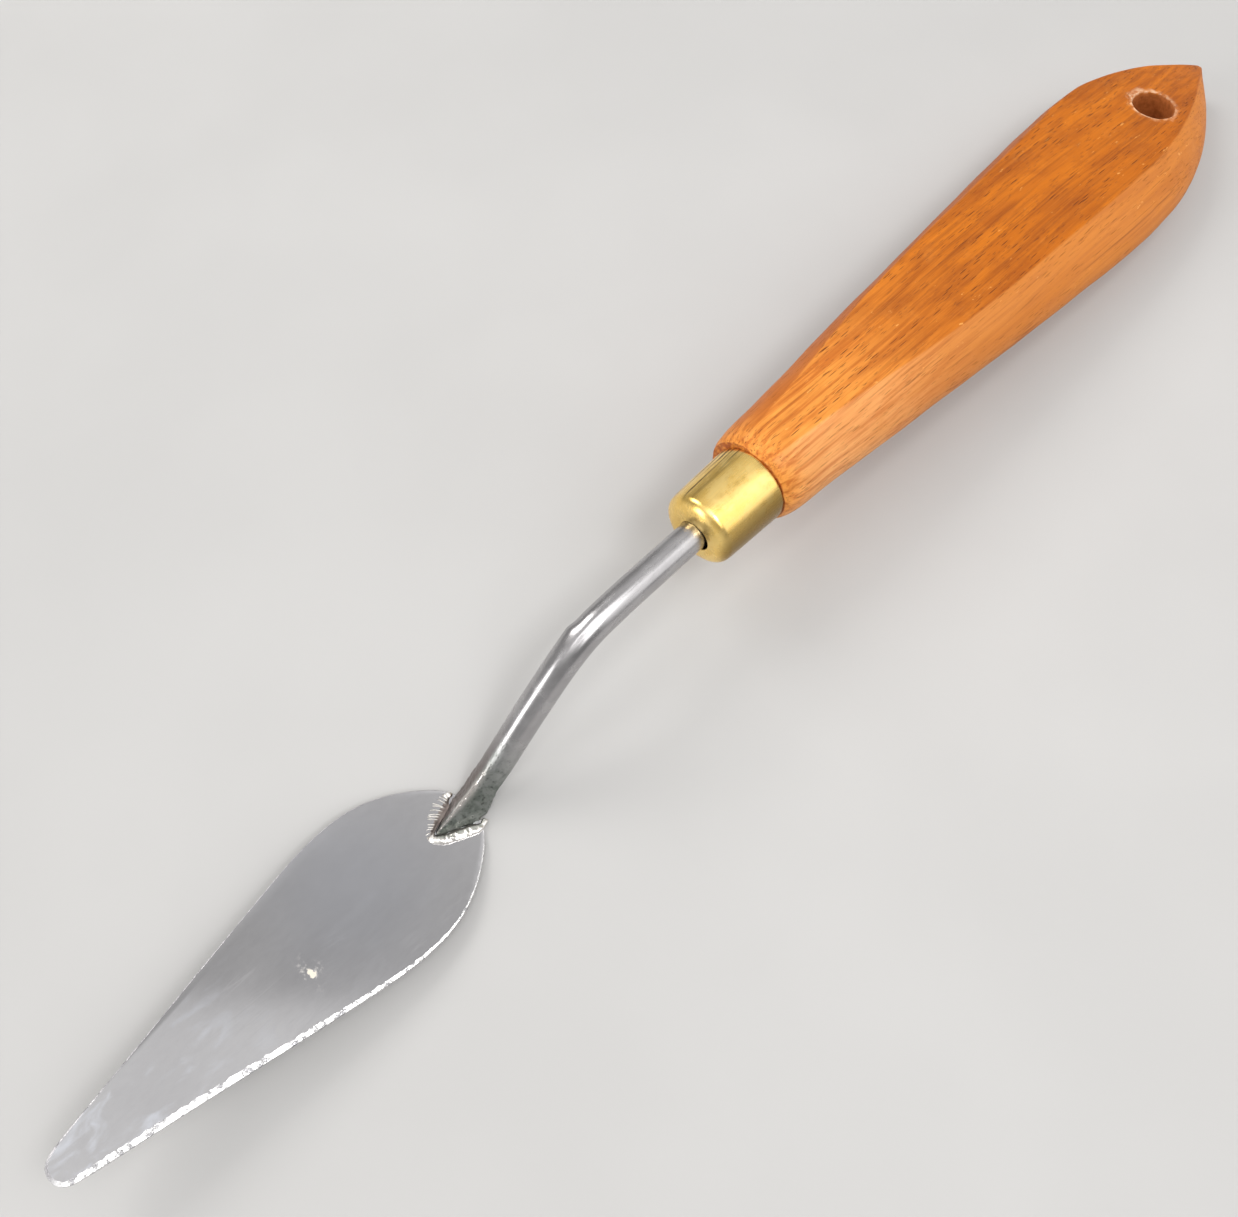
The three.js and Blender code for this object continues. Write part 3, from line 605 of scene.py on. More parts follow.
# ---------------------------------------------------------------- the blade: one springy sheet with a ground edge
def build_blade():
    line = dense(OUTLINE, 0.03, 0.0)
    # rounded a little along its length, with both ends kept on the middle line
    full = np.concatenate([line, (line * [1, -1])[::-1][1:-1]])
    g = np.exp(-0.5 * (np.arange(-30, 31) * 0.03 / 0.25) ** 2)
    g /= g.sum()
    k = 30
    closed = np.concatenate([full[-k:], full, full[:k]])
    sm = np.stack([np.convolve(closed[:, j], g, "valid") for j in range(2)], 1)
    half = sm[:len(line)]
    half[0, 1] = half[-1, 1] = 0
    s = np.r_[0, np.cumsum(np.linalg.norm(np.diff(half, axis=0), axis=1))]
    total = s[-1]
    t = np.concatenate([np.linspace(0, 4.0, 46, endpoint=False), np.linspace(4.0, total - 9.0, 210, endpoint=False), np.linspace(total - 9.0, total, 70)])
    out = np.stack([np.interp(t, s, half[:, k]) for k in range(2)], 1)
    a = np.stack([np.interp(np.clip(t - 0.15, 0, total), s, half[:, k]) for k in range(2)], 1)
    b = np.stack([np.interp(np.clip(t + 0.15, 0, total), s, half[:, k]) for k in range(2)], 1)
    d = b - a
    d[0] = (0, 1)
    d[-1] = (0, -1)
    d /= np.linalg.norm(d, axis=1)[:, None]
    inward = np.stack([d[:, 1], -d[:, 0]], 1)
    rows, kinds = [], []
    for side, seed in ((1, 3), (-1, 9)):
        if side < 0:
            w = np.interp(out[:, 0], [0, 3, 10, 25, 38, 46, 52, 56.2], [0.42, 0.60, 0.72, 0.60, 0.36, 0.22, 0.15, 0.12])
            w = w * (1 + 0.16 * wobble(out[:, 0] / 56.2, [3, 7, 13, 29], seed) + 0.22 * wobble(out[:, 0] / 56.2, [31, 44, 57, 83], seed + 1))
        else:
            w = np.interp(out[:, 0], [0, 3, 10, 56.2], [0.36, 0.14, 0.09, 0.08]) * (1 + 0.12 * wobble(out[:, 0] / 56.2, [5, 11, 23], seed))
        drop = (np.interp(out[:, 0], [0, 34, 46, 56.2], [0.24, 0.24, 0.17, 0.12]) if side < 0 else 0.12) * w
        lip = (0.05 if side < 0 else 0.02) + 0 * w
        # both sides meet in the same section at the tip and at the heel
        for e, we, de in ((np.exp(-(t / 0.8) ** 2), 0.39, 0.07), (np.exp(-((total - t) / 0.8) ** 2), 0.10, 0.012)):
            w, drop, lip = w * (1 - e) + we * e, drop * (1 - e) + de * e, lip * (1 - e) + 0.035 * e
        inner = out + inward * w[:, None]
        inner[1:-1, 1] = np.maximum(inner[1:-1, 1], 0.012)
        mid = out + inward * (w * 0.5)[:, None]
        mid[1:-1, 1] = np.maximum(mid[1:-1, 1], 0.018)
        edge = out + inward * 0.03
        edge[1:-1, 1] = np.maximum(edge[1:-1, 1], 0.02)
        cols = []
        # underside edge, edge corner, edge top, mid bevel, bevel's inner line
        for p, z in ((out + inward * 0.05, 0 * w), (out, 0.05 + 0 * w), (out, BLADE_T - drop - lip), (edge, BLADE_T - drop), (mid, BLADE_T - drop * 0.5), (inner, BLADE_T + 0 * w)):
            q = p.copy()
            q[1:-1, 1] = np.maximum(q[1:-1, 1], 0.012)
            q[0, 1] = q[-1, 1] = 0
            q[:, 1] *= side
            cols.append(np.concatenate([q, np.broadcast_to(z, (len(q),))[:, None]], 1))
        rows.append(cols)
    left, right = rows
    n = len(t)
    inner_l, inner_r = left[-1], right[-1]
    under_l, under_r = left[0], right[0]
    across = 15
    strips = [left[0], left[1], left[2], left[3], left[4], left[5]]
    for k in range(1, across):
        f = k / across
        strips.append(inner_l * (1 - f) + inner_r * f)
    strips += [right[5], right[4], right[3], right[2], right[1], right[0]]
    for k in range(1, across):
        f = k / across
        strips.append(under_r * (1 - f) + under_l * f)
    m = len(strips)
    # at the tip and at the heel both sides share one row of points
    share = list(range(6)) + [5] * (across - 1) + [5, 4, 3, 2, 1, 0] + [0] * (across - 1)
    index, points = {}, []
    for j in range(m):
        for i in range(n):
            own = share[j] if i in (0, n - 1) else j
            if (own, i) not in index:
                index[own, i] = len(points)
                points.append(strips[own][i])
            index[j, i] = index[own, i]
    v = np.array(points)
    faces, kind = [], []
    for j in range(m):
        j2 = (j + 1) % m
        for i in range(n - 1):
            face = []
            for corner in ((j, i), (j, i + 1), (j2, i + 1), (j2, i)):
                if index[corner] not in face:
                    face.append(index[corner])
            if len(face) > 2:
                faces.append(tuple(face))
                kind.append(j)
    # faces between strips 0..5 on the left and 5+across..10+across on the right are the ground edge
    row = blade_to_row(v[:, 0], v[:, 1], v[:, 2])
    # a real sheet isn't a perfect mirror plane: a few hundredths of a millimetre of waviness
    wave = 0.035 * np.sin(v[:, 0] / 56.2 * np.pi * 1.1 + 0.4) * (v[:, 1] / 9.8) + 0.02 * np.sin(v[:, 0] / 9.0 + v[:, 1] / 5.0)
    row[:, 2] += wave * smooth01((49.0 - v[:, 0]) / 12.0)
    me = bpy.data.meshes.new("blade_sheet")
    me.from_pydata((row * 0.001).tolist(), [], faces)
    o = bpy.data.objects.new("blade_sheet", me)
    bpy.context.scene.collection.objects.link(o)
    me.materials.append(M_BLADE)
    me.materials.append(M_EDGE)
    edge_strips = set(range(1, 5)) | set(range(across + 5, across + 9))
    for f_i, p in enumerate(me.polygons):
        p.material_index = 1 if kind[f_i] in edge_strips else 0
        p.use_smooth = True
    bm = bmesh.new()
    bm.from_mesh(me)
    bmesh.ops.recalc_face_normals(bm, faces=bm.faces)
    for e in bm.edges:
        if len(e.link_faces) == 2 and e.calc_face_angle(0) > math.radians(9):
            e.smooth = False
    bm.to_mesh(me)
    bm.free()
    return o


blade = build_blade()
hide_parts("blade", "blade_root")
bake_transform(blade)


# ---------------------------------------------------------------- the shank: tang, crank and wedge foot
def axis_z(s):
    return SEAT[1] - 0.1003 * (s - SEAT[0])


def build_shank():
    end = SEAT[0] + TANG_IN * math.cos(HANDLE_TILT)
    pts = [(end, axis_z(end))] + [(s, axis_z(s)) for s in (124, 114, 104, 98, 92, 87, 83.2)] + [(81.2, 16.26)] + NECK
    q = dense(pts, 0.05, 0.75)
    ls = np.r_[0, np.cumsum(np.linalg.norm(np.diff(q, axis=0), axis=1))]
    total = ls[-1]
    # few rings in the straight tang, many on the crank and the foot
    t = np.concatenate([np.linspace(0, 40, 20, endpoint=False), np.linspace(40, 52, 24, endpoint=False), np.linspace(52, total - 17, 110, endpoint=False), np.linspace(total - 17, total, 110)]) / total
    c, tan = at_length(q, t)
    m = 64
    rings, ridge_a = [], []
    for (s, z), (tx, tz) in zip(c, tan):
        x = S0 + s
        up = np.array([-tz, 0, tx])
        if up[2] < 0:
            up = -up
        ring, ra = [], []
        k = min(max((FOOT_START - s) / (FOOT_START - FOOT_TOE), 0), 1)
        bl = float(smooth01(k / 0.5))
        base = blade_top(x) - 0.03
        ridge = float(pchip([a for a, _ in FOOT_RIDGE], [b for _, b in FOOT_RIDGE], s)) if s < FOOT_START else 0
        half = float(pchip([a for a, _ in FOOT_W], [b for _, b in FOOT_W], s)) if s < FOOT_START else 0
        lift = float(smooth01((s - 54.8) / 3.8))
        side_z = base * (1 - lift) + z * lift
        q2 = float(smooth01((s - 55.6) / 2.2))
        bottom_z = base * (1 - q2) + (z - ROD_R * 1.25) * q2
        for j in range(m):
            a = 2 * math.pi * j / m
            # pressing the crank raised a small shoulder on one side, just below the bend
            turn = math.degrees(math.atan2(math.sin(a), math.cos(a)))
            bump = 0.26 * math.exp(-((turn - 62) / 34) ** 2) * float(smooth01((77.0 - s) / 1.7)) * math.exp(-max(75.6 - s, 0) / 2.0)
            crease = -0.07 * math.exp(-((turn + 17) / 6) ** 2) * math.exp(-((s - 77.2) / 2.4) ** 2)
            rr = ROD_R + bump + crease
            rd = np.array([x, 0, z]) + up * rr * math.cos(a) + np.array([0, rr * math.sin(a), 0])
            if k > 0:
                at = abs(math.atan2(math.sin(a), math.cos(a))) / (math.pi / 2)
                sg = math.copysign(1, math.sin(a))
                if at <= 1 + 1e-9:
                    # two flat facets that meet in a narrow rounded ridge
                    e = at ** 0.92
                    fall = math.hypot(e, 0.05) - 0.05
                    kp = np.array([x, sg * half * e, ridge - (ridge - side_z) * 0.985 * fall ** 1.06])
                else:
                    rnd = side_z + (bottom_z - side_z) * math.sin(math.pi / 2 * (at - 1))
                    kp = np.array([x, sg * half * max(2 - at, 0) ** (0.35 + 0.2 * lift), base * (1 - lift) + rnd * lift])
                rd = rd * (1 - bl) + kp * bl
                ra.append(bl * math.exp(-(e / (0.10 + 0.10 * (1 - k))) ** 2) if at <= 1 else 0.0)
            else:
                ra.append(0.0)
            rd[2] = max(rd[2], blade_top(rd[0]) - 0.03, 0.12)
            ring.append(rd)
        rings.append(ring)
        ridge_a.append(ra)
    rings = np.array(rings)
    # the facets of the foot are hammered and pitted
    px, py, pz = rings[..., 0], rings[..., 1], rings[..., 2]
    amount = smooth01((S0 + 60.5 - px) / 3.0) * 0.045
    lumps = np.sin(px * 3.1 + py * 2.3 + 1.0) * np.sin(pz * 4.3 - px * 1.7) + 0.6 * np.sin(px * 6.3 - py * 5.1 + pz * 3.3 + 2.0)
    mid = rings.mean(axis=1, keepdims=True)
    out = rings - mid
    out /= np.maximum(np.linalg.norm(out, axis=2, keepdims=True), 1e-9)
    rings = rings + out * (amount * lumps)[..., None] * (np.abs(py) > 0.25)[..., None]
    o = loft("shank_rod", rings, rings[0].mean(0), rings[-1].mean(0))
    co = coords_mm(o)
    flat = rings.reshape(-1, 3)
    r = np.array(ridge_a).ravel()
    # carry the ridge's mark, which the material paints as a highlight, over to the merged mesh by nearest point in the
    # foot
    val = np.zeros(len(co))
    near = np.nonzero(co[:, 0] < S0 + FOOT_START + 1)[0]
    cand = np.nonzero(flat[:, 0] < S0 + FOOT_START + 2)[0]
    for i in near:
        d = ((flat[cand] - co[i]) ** 2).sum(1)
        val[i] = r[cand[d.argmin()]]
    float_attribute(o, "ridge", val)
    sharpen(o, 50)
    o.data.materials.append(M_ROD)
    return o


shank = build_shank()
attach(shank, "knife_body")
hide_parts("shank")


# ---------------------------------------------------------------- the weld: a fat lumpy bead on one side, fine ripples on the other
def build_weld():
    """One closed strip along the V: middle line, half width, and a height over its width that is
    a lumpy round bead on -Y and a thin fillet with narrow raised fingers on +Y."""
    pts = [(55.42, -2.62, 0.30), (55.1, -2.72, 0.32), (54.65, -2.9, 0.24), (54.0, -2.94, 0.5), (53.3, -2.62, 0.56), (52.5, -2.28, 0.58), (51.4, -1.78, 0.56), (50.3, -1.28, 0.54), (49.6, -0.62, 0.5), (49.2, -0.05, 0.42),
           (49.25, 0.68, 0.36), (50.0, 1.32, 0.5), (50.75, 1.86, 0.66), (51.7, 2.42, 0.84), (52.6, 2.78, 0.86), (53.4, 2.9, 0.7), (54.0, 2.86, 0.36), (54.45, 2.8, 0.3), (54.75, 2.78, 0.28)]
    q = dense([(a, b, c) for a, b, c in pts], 0.03, 0.22)
    n = 620
    plane = q[:, :2]
    ls = np.r_[0, np.cumsum(np.linalg.norm(np.diff(plane, axis=0), axis=1))]
    L = np.linspace(0, ls[-1], n)
    c = np.stack([np.interp(L, ls, q[:, k]) for k in range(3)], 1)
    e = 0.12
    d = np.stack([np.interp(np.clip(L + e, 0, ls[-1]), ls, plane[:, k]) - np.interp(np.clip(L - e, 0, ls[-1]), ls, plane[:, k]) for k in range(2)], 1)
    d /= np.linalg.norm(d, axis=1)[:, None]
    outward = np.stack([-d[:, 1], d[:, 0]], 1)
    flip = np.sign((outward * (c[:, :2] - [54.5, 0])).sum(1))
    outward *= np.median(flip)
    half = c[:, 2]
    start, end = L, ls[-1] - L
    tip = np.sqrt(np.clip(1 - (1 - np.clip(np.minimum(start, end) / 0.30, 0, 1)) ** 2, 0.0004, 1))
    plus = smooth01((c[:, 1] + 0.1) / 0.8) * smooth01((end - 0.75) / 0.4)
    lump = wobble(L, [0.55, 0.93, 1.31, 1.77], 5)
    side = wobble(L, [0.6, 1.2, 1.9], 15)
    r = np.random.default_rng(21)
    first, last = 6.3, ls[-1] - 0.7
    centres = np.arange(first, last, 0.43)
    centres = centres + r.uniform(-0.15, 0.15, len(centres))
    reach = r.uniform(0.55, 1.0, len(centres))
    tall = r.uniform(0.05, 0.11, len(centres))
    lean = 0.30 + r.uniform(-0.12, 0.12, len(centres))
    knobs = [(x, r.uniform(-0.25, 0.25), r.uniform(0.18, 0.34), r.uniform(0.04, 0.16)) for x in np.arange(0.3, 6.8, 0.42) + r.uniform(-0.12, 0.12, 16)]
    a = np.concatenate([np.linspace(-1, 1, 34), np.linspace(1, -1, 12)[1:-1]])
    rings, fil = [], []
    for i in range(n):
        hw = half[i] * (1 + 0.07 * side[i] * (1 - plus[i])) * tip[i]
        w = a[:34]
        knob = sum(kh * np.exp(-(((L[i] - kl) / kr) ** 2 + ((w * hw - kw) / kr) ** 2)) for kl, kw, kr, kh in knobs)
        bead = ((0.34 + 0.07 * lump[i]) * np.sqrt(np.clip(1 - w ** 2, 0, 1)) + knob * np.clip(1 - w ** 2, 0, 1) ** 0.3) * tip[i]
        bead = bead * (half[i] / 0.56) ** 0.8
        inner = smooth01((-0.05 - w) / 0.95)
        fillet = 0.34 * inner ** 1.5 * tip[i] - 0.03
        mm_out = w * hw
        ridge = np.zeros_like(w)
        for cc, rc, tc, lc in zip(centres, reach, tall, lean):
            if abs(cc - L[i]) < 1.2:
                off = (L[i] + lc * mm_out * 1.2) - cc
                along = smooth01((w + 0.66) / 0.4) * smooth01((rc - w) / 0.35)
                ridge = np.maximum(ridge, tc * along * np.exp(-(off / 0.072) ** 2))
        comb = fillet + ridge * 1.5
        z = bead * (1 - plus[i]) + comb * plus[i] - 0.004
        if plus[i] < 0.99:
            z = z - 0.02 * (np.abs(w) > 0.999)
        ring = []
        for j in range(len(a)):
            reach_in = hw * (1.5 + 0.35 * plus[i]) if a[j] < 0 else hw
            ps = c[i, 0] + outward[i, 0] * a[j] * reach_in
            py = c[i, 1] + outward[i, 1] * a[j] * reach_in
            x = S0 + ps
            h = z[j] if j < 34 else -0.12 * tip[i]
            ring.append((x, py, blade_top(x) + h))
            fil.append(float(plus[i] * (1 - smooth01(ridge[j] / 0.05)) + (1 - plus[i]) * 0.9 * smooth01((-0.42 - w[j]) / 0.3)) if j < 34 else float(plus[i]))
        rings.append(ring)
    rings = np.array(rings)
    v = rings.reshape(-1, 3)
    o = loft("weld_fillet", rings, rings[0].mean(0), rings[-1].mean(0))
    co = coords_mm(o)
    val = np.zeros(len(co))
    f = np.array(fil)
    for i in range(0, len(co), 512):
        part = co[i:i + 512]
        lo, hi = part[:, 0].min() - 0.2, part[:, 0].max() + 0.2
        cand = np.nonzero((v[:, 0] >= lo) & (v[:, 0] <= hi))[0]
        dist = ((v[cand][None] - part[:, None]) ** 2).sum(2)
        val[i:i + 512] = f[cand[dist.argmin(1)]]
    float_attribute(o, "fillet", val)
    o.data.materials.append(M_WELD)
    return o


weld = build_weld()
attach(weld, "knife_body")
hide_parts("weld_bead")


# ---------------------------------------------------------------- the ferrule
def build_ferrule():
    fr, br = FERRULE_R
    fx, lip, hole = -FERRULE_L + 0.2, 1.25, FERRULE_HOLE_R - 0.37
    prof = []
    # front, from the hole outwards: a small rolled rim round the hole, the face, the big rolled lip
    for i in range(8):
        a = math.pi * (1.15 - i / 7 * 0.80)
        prof.append((hole + 0.13 + 0.13 * math.cos(a), fx + 0.15 - 0.13 * math.sin(a)))
    for i in range(22):
        a = (0.08 + 0.92 * i / 21) * math.pi / 2
        r0 = hole + 0.02
        prof.append((r0 + (fr - 0.02 - r0) * math.sin(a) ** 0.80, fx + 1.5 * (1 - math.cos(a)) ** 1.05))
    prof += [(fr + 0.02, fx + 2.0), (fr + 0.08, fx + 3.6), ((fr + br) / 2 + 0.02, 0.5 * (fx + lip) + 0.6), (br - 0.06, -1.4), (br - 0.01, -0.4), (br, 0.4), (br - 0.02, 0.68), (br - 0.07, 0.80), (br - 0.17, 0.85), (br - 0.4, 0.85)]
    inner = lip - 0.4
    prof += [(br - 0.4, 0.2), ((fr + br) / 2 - 0.4, 0.5 * (fx + lip) + 0.1), (fr - 0.42, fx + 1.6)]
    for i in range(8, -1, -1):
        a = (0.12 + 0.88 * i / 8) * math.pi / 2
        prof.append((fr - 0.14 - lip + inner * math.sin(a), fx + 0.12 + lip - inner * math.cos(a)))
    prof.append((hole + 0.26, fx + 0.52))
    m = 120
    rings = []
    for r, x in prof:
        ring = []
        for j in range(m):
            a = 2 * math.pi * j / m
            # pressed, not turned: a shade out of round, with shallow dents at the lip
            k = 1 + 0.0035 * math.sin(2 * a + 0.6) + 0.0022 * math.sin(5 * a + 1.1)
            dent = -0.03 * math.exp(-((a - 1.1) / 0.25) ** 2) * math.exp(-((x - fx - 0.9) / 0.9) ** 2)
            rr = r * k + dent
            shift = max(0.0, min(1.0, (3.5 - r) / 0.9)) if x < fx + 1.0 else 0.0
            ring.append((x, rr * math.sin(a) - 0.14 * shift, rr * math.cos(a) - 0.10 * shift))
        ring = np.array(ring)
        rings.append(handle_to_row(ring[:, 0], ring[:, 1], ring[:, 2]))
    o = loft("ferrule_cap", np.array(rings), closed_rings=True)
    co = coords_mm(o)
    c, s = math.cos(HANDLE_TILT), math.sin(HANDLE_TILT)
    lz = (co[:, 0] - (S0 + SEAT[0])) * s + (co[:, 2] - SEAT[1]) * c
    float_attribute(o, "around", np.arctan2(co[:, 1], lz) * 5.0)
    sharpen(o, 55)
    o.data.materials.append(M_BRASS)
    return o


ferrule = build_ferrule()
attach(ferrule, "knife_body")
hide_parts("ferrule")


# ---------------------------------------------------------------- the handle
SX = [r[0] for r in SECTIONS]


def section(x):
    w, h, p, flat = [float(pchip(SX, [r[k] for r in SECTIONS], x)) for k in (1, 2, 3, 4)]
    ease = math.exp(-max(x - 0.9, 0) / 1.1)  # the shoulder is rounded over down to the brass
    return [w - 0.03 * ease, h - 0.17 * ease, p, flat]


def quarter_curve(w, h, p, flat):
    """From the middle of the flat to the side, as 320 evenly spaced points."""
    H = h / (1 - flat ** p) ** (1 / p)
    a = np.linspace(0, math.pi / 2, 700)
    y = w * np.sin(a) ** (2 / p)
    z = np.minimum(H * np.abs(np.cos(a)) ** (2 / p), h)
    q = np.stack([y, z], 1)
    s = np.r_[0, np.cumsum(np.linalg.norm(np.diff(q, axis=0), axis=1))]
    return np.stack([np.interp(np.linspace(0, s[-1], 320), s, q[:, k]) for k in range(2)], 1), s[-1]


def wide_flat(flat, x):
    """The planed flats reach further towards +Y than towards -Y, most of all at the butt."""
    more = np.interp(x, [0, 6, 20, 45, 70, 86, 100, 108], [0.0, 0.05, 0.15, 0.22, 0.26, 0.31, 0.29, 0.22])
    return np.minimum(flat + more, 0.85)


def handle_ring(x):
    """Closed section at x, with points kept close at the edges of the planed flats."""
    w, h, p, flat = section(x)
    n = 320
    quarters = {}
    for side, f in ((1, float(wide_flat(flat, x))), (-1, flat)):
        q, length = quarter_curve(w, h, p, f)
        quarters[side] = (q, length, f)
    qp, qn = quarters[1][0], quarters[-1][0]
    full = np.concatenate([qp, (qp * [1, -1])[::-1][1:], (qn * [-1, -1])[1:], (qn * [-1, 1])[::-1][1:-1]])
    step = 0.5 * (quarters[1][1] + quarters[-1][1]) / (n - 1)
    sig = min(0.17, 0.10 * h)
    k = max(2, int(4 * sig / step))
    g = np.exp(-0.5 * (np.arange(-k, k + 1) * step / sig) ** 2)
    g /= g.sum()
    wrap = np.concatenate([full[-k:], full, full[:k]])
    sm = np.stack([np.convolve(wrap[:, j], g, "valid") for j in range(2)], 1)
    parts = []
    starts = {1: sm[:n], -1: np.concatenate([sm[3 * n - 3:], sm[:1]])[::-1]}
    for side in (1, -1):
        _, length, f = quarters[side]
        edge = f * w / length
        soft = min(0.5 / length, 0.35 * edge)
        t = np.concatenate([np.linspace(0, edge - soft, 6, endpoint=False), np.linspace(edge - soft, edge + soft, 8, endpoint=False), np.linspace(edge + soft, 1, 17)])
        c = starts[side]
        idx = t * (len(c) - 1)
        parts.append(np.stack([np.interp(idx, np.arange(len(c)), c[:, j]) for j in range(2)], 1))
    pp, pn = parts
    return np.concatenate([pp, (pp * [1, -1])[::-1][1:], (pn * [1, -1])[1:], pn[::-1][1:-1]])


def sway(x):
    """The hand-shaped handle isn't quite symmetrical: its middle line wanders by a few tenths of a millimetre."""
    return np.interp(x, [0, 11, 18, 26, 36, 52, 68, 76, 82, 86, 91, 96, 100, 108], [0.22, 0.25, 0.14, 0.08, -0.07, -0.22, -0.18, -0.06, 0.08, 0.3, 0.42, 0.6, 0.68, 0.68])


def build_handle():
    xs = np.concatenate([[0.9, 1.0, 1.15, 1.35, 1.6, 2.0, 2.6, 3.3], np.linspace(4.0, 80.0, 96, endpoint=False), np.linspace(80.0, 100.0, 40, endpoint=False),
                         np.linspace(100.0, 106.0, 16, endpoint=False), [106.0, 106.4, 106.8, 107.1, 107.4, 107.65, 107.85, 107.98, 108.05]])
    rings = []
    for x in xs:
        ring = handle_ring(x)
        count = len(ring)
        ang = np.arctan2(ring[:, 0], ring[:, 1])
        # worn, slightly chipped shoulder behind the ferrule
        k = math.exp(-((x - 0.9) / 0.45) ** 2)
        chips = np.clip(np.sin(ang * 5 + 0.7) + 0.7 * np.sin(ang * 11 + 2.0) - 0.5, 0, None)
        scale = 1 - k * (0.010 + 0.022 * chips)
        y = ring[:, 0] * scale + sway(x)
        z = ring[:, 1] * scale
        # the shoulder stands proud of the brass on +Y and is worn almost flush on top and towards -Y
        near = math.exp(-max(x - 0.9, 0) / 2.2)
        y = y + near * np.where(ring[:, 0] > 0, 0.45, -0.05) * np.sin(ang)
        z = z - near * 0.06 * np.cos(ang)
        # a hair of unevenness from the spokeshave
        along = 0.035 * np.sin(x * 0.23 + 2.1 * np.sin(ang)) + 0.02 * np.sin(x * 0.61 + 3.0 * np.cos(ang) + 1.0)
        fade = smooth01((x - 6) / 12)
        y = y + along * fade * np.sin(ang)
        z = z + along * fade * np.cos(ang) * 0.4
        rings.append(handle_to_row(np.full(count, x), y, z))
    # the spigot under the ferrule, as rings of the same count
    spig = []
    for x, r in ((-SPIGOT_L, SPIGOT_R[0] - 0.35), (-SPIGOT_L + 0.4, SPIGOT_R[0]), (-3.0, (SPIGOT_R[0] + SPIGOT_R[1]) / 2), (0.2, SPIGOT_R[1]), (0.84, SPIGOT_R[1] + 0.02)):
        ring = handle_ring(1.5)
        d = ring / np.linalg.norm(ring, axis=1)[:, None]
        spig.append(handle_to_row(np.full(count, x), d[:, 0] * r, d[:, 1] * r))
    rings = spig + rings
    start = handle_to_row(np.array([-SPIGOT_L]), np.array([0.0]), np.array([0.0]))[0]
    end = handle_to_row(np.array([108.12]), np.array([float(sway(108))]), np.array([0.0]))[0]
    o = loft("handle_wood", np.array(rings), start, end)

    # bore for the tang
    m = 40
    br = []
    for x in (-SPIGOT_L - 2, BORE_DEPTH):
        a = np.arange(m) * 2 * math.pi / m
        br.append(handle_to_row(np.full(m, x), BORE_R * np.sin(a), BORE_R * np.cos(a)))
    cut = loft("cut_bore", np.array(br), br[0].mean(0), br[1].mean(0))
    boolean(o, cut)
    # hanging hole with a worn, slightly flared mouth on both faces
    xh = (HOLE_X - S0 - SEAT[0]) / math.cos(HANDLE_TILT)
    top_z = None
    w, h, p, f = section(xh)
    mid = handle_to_row(np.array([xh]), np.array([0.0]), np.array([0.0]))[0]
    top = mid[2] + h
    bot = mid[2] - h
    slope = -0.10 - 0.035  # the mouth follows the fall of the flat
    m = 64
    rr = []
    for dz, r in ((6.0, HOLE_R + 0.55), (0.42, HOLE_R + 0.50), (0.12, HOLE_R + 0.30), (-0.10, HOLE_R + 0.13), (-0.38, HOLE_R + 0.03), (-0.8, HOLE_R)):
        a = np.arange(m) * 2 * math.pi / m
        worn = 1 + 0.012 * np.sin(3 * a + 0.4) + 0.008 * np.sin(7 * a)
        px, py = HOLE_X + r * worn * np.cos(a), r * worn * np.sin(a) + 0.1
        rr.append(np.stack([px, py, top + dz + slope * (px - HOLE_X)], 1))
    for dz, r in ((0.8, HOLE_R), (0.3, HOLE_R + 0.04), (0.0, HOLE_R + 0.2), (-0.3, HOLE_R + 0.4), (-4.0, HOLE_R + 0.45)):
        a = np.arange(m) * 2 * math.pi / m
        px, py = HOLE_X + r * np.cos(a), r * np.sin(a) + 0.1
        rr.append(np.stack([px, py, bot + dz + (-0.10 + 0.035) * (px - HOLE_X)], 1))
    cut = loft("cut_hole", np.array(rr), rr[0].mean(0), rr[-1].mean(0))
    boolean(o, cut)

    # marks for the material
    co = coords_mm(o)
    c, s = math.cos(HANDLE_TILT), math.sin(HANDLE_TILT)
    dx, dz = co[:, 0] - (S0 + SEAT[0]), co[:, 2] - SEAT[1]
    hx, hz = dx * c - dz * s, dx * s + dz * c
    hy = co[:, 1] - sway(hx)
    w = pchip(SX, [r[1] for r in SECTIONS], hx)
    hh = pchip(SX, [r[2] for r in SECTIONS], hx)
    fl = pchip(SX, [r[4] for r in SECTIONS], hx)
    off = np.abs(hy) - np.where(hy > 0, wide_flat(fl, hx), fl) * w
    facet = smooth01((off + 0.05) / 0.30) * smooth01((hx - 0.5) / 6.0)
    facet = np.where(hz > 0, facet, facet)
    float_attribute(o, "facet", facet * smooth01((106.5 - hx) / 6.0 + 0.4))
    # painted shade: marks the facets towards the sides of the handle, which the material darkens
    facet_painted_shade = smooth01((0.42 * hh - np.abs(hz)) / (0.5 * hh)) * (hx > 1)
    float_attribute(o, "facet_painted_shade", facet_painted_shade * facet)
    dr = np.hypot(co[:, 0] - HOLE_X, co[:, 1] - 0.1)
    inside = ((dr < HOLE_R + 0.12) & (np.abs(hz) < hh - 0.25)).astype(float)
    rim = np.clip(1 - np.abs(dr - HOLE_R - 0.28) / 0.34, 0, 1) * (1 - inside)
    float_attribute(o, "inside", inside)
    float_attribute(o, "rim", rim)
    float_attribute(o, "chip", ((hx > 0.5) & (hx < 0.93)) * 1.0)
    for pgn in o.data.polygons:
        pgn.use_smooth = True
    sharpen(o, 38)
    o.data.materials.clear()
    o.data.materials.append(M_WOOD)
    return o


handle = build_handle()
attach(handle, "knife_body")
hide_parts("handle")

# the resin in the bore keeps its CAD shape
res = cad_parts["tang_adhesive"]
for k in range(max(1, len(res.material_slots))):
    if not res.material_slots:
        res.data.materials.append(M_RESIN)
    else:
        res.material_slots[k].material = M_RESIN


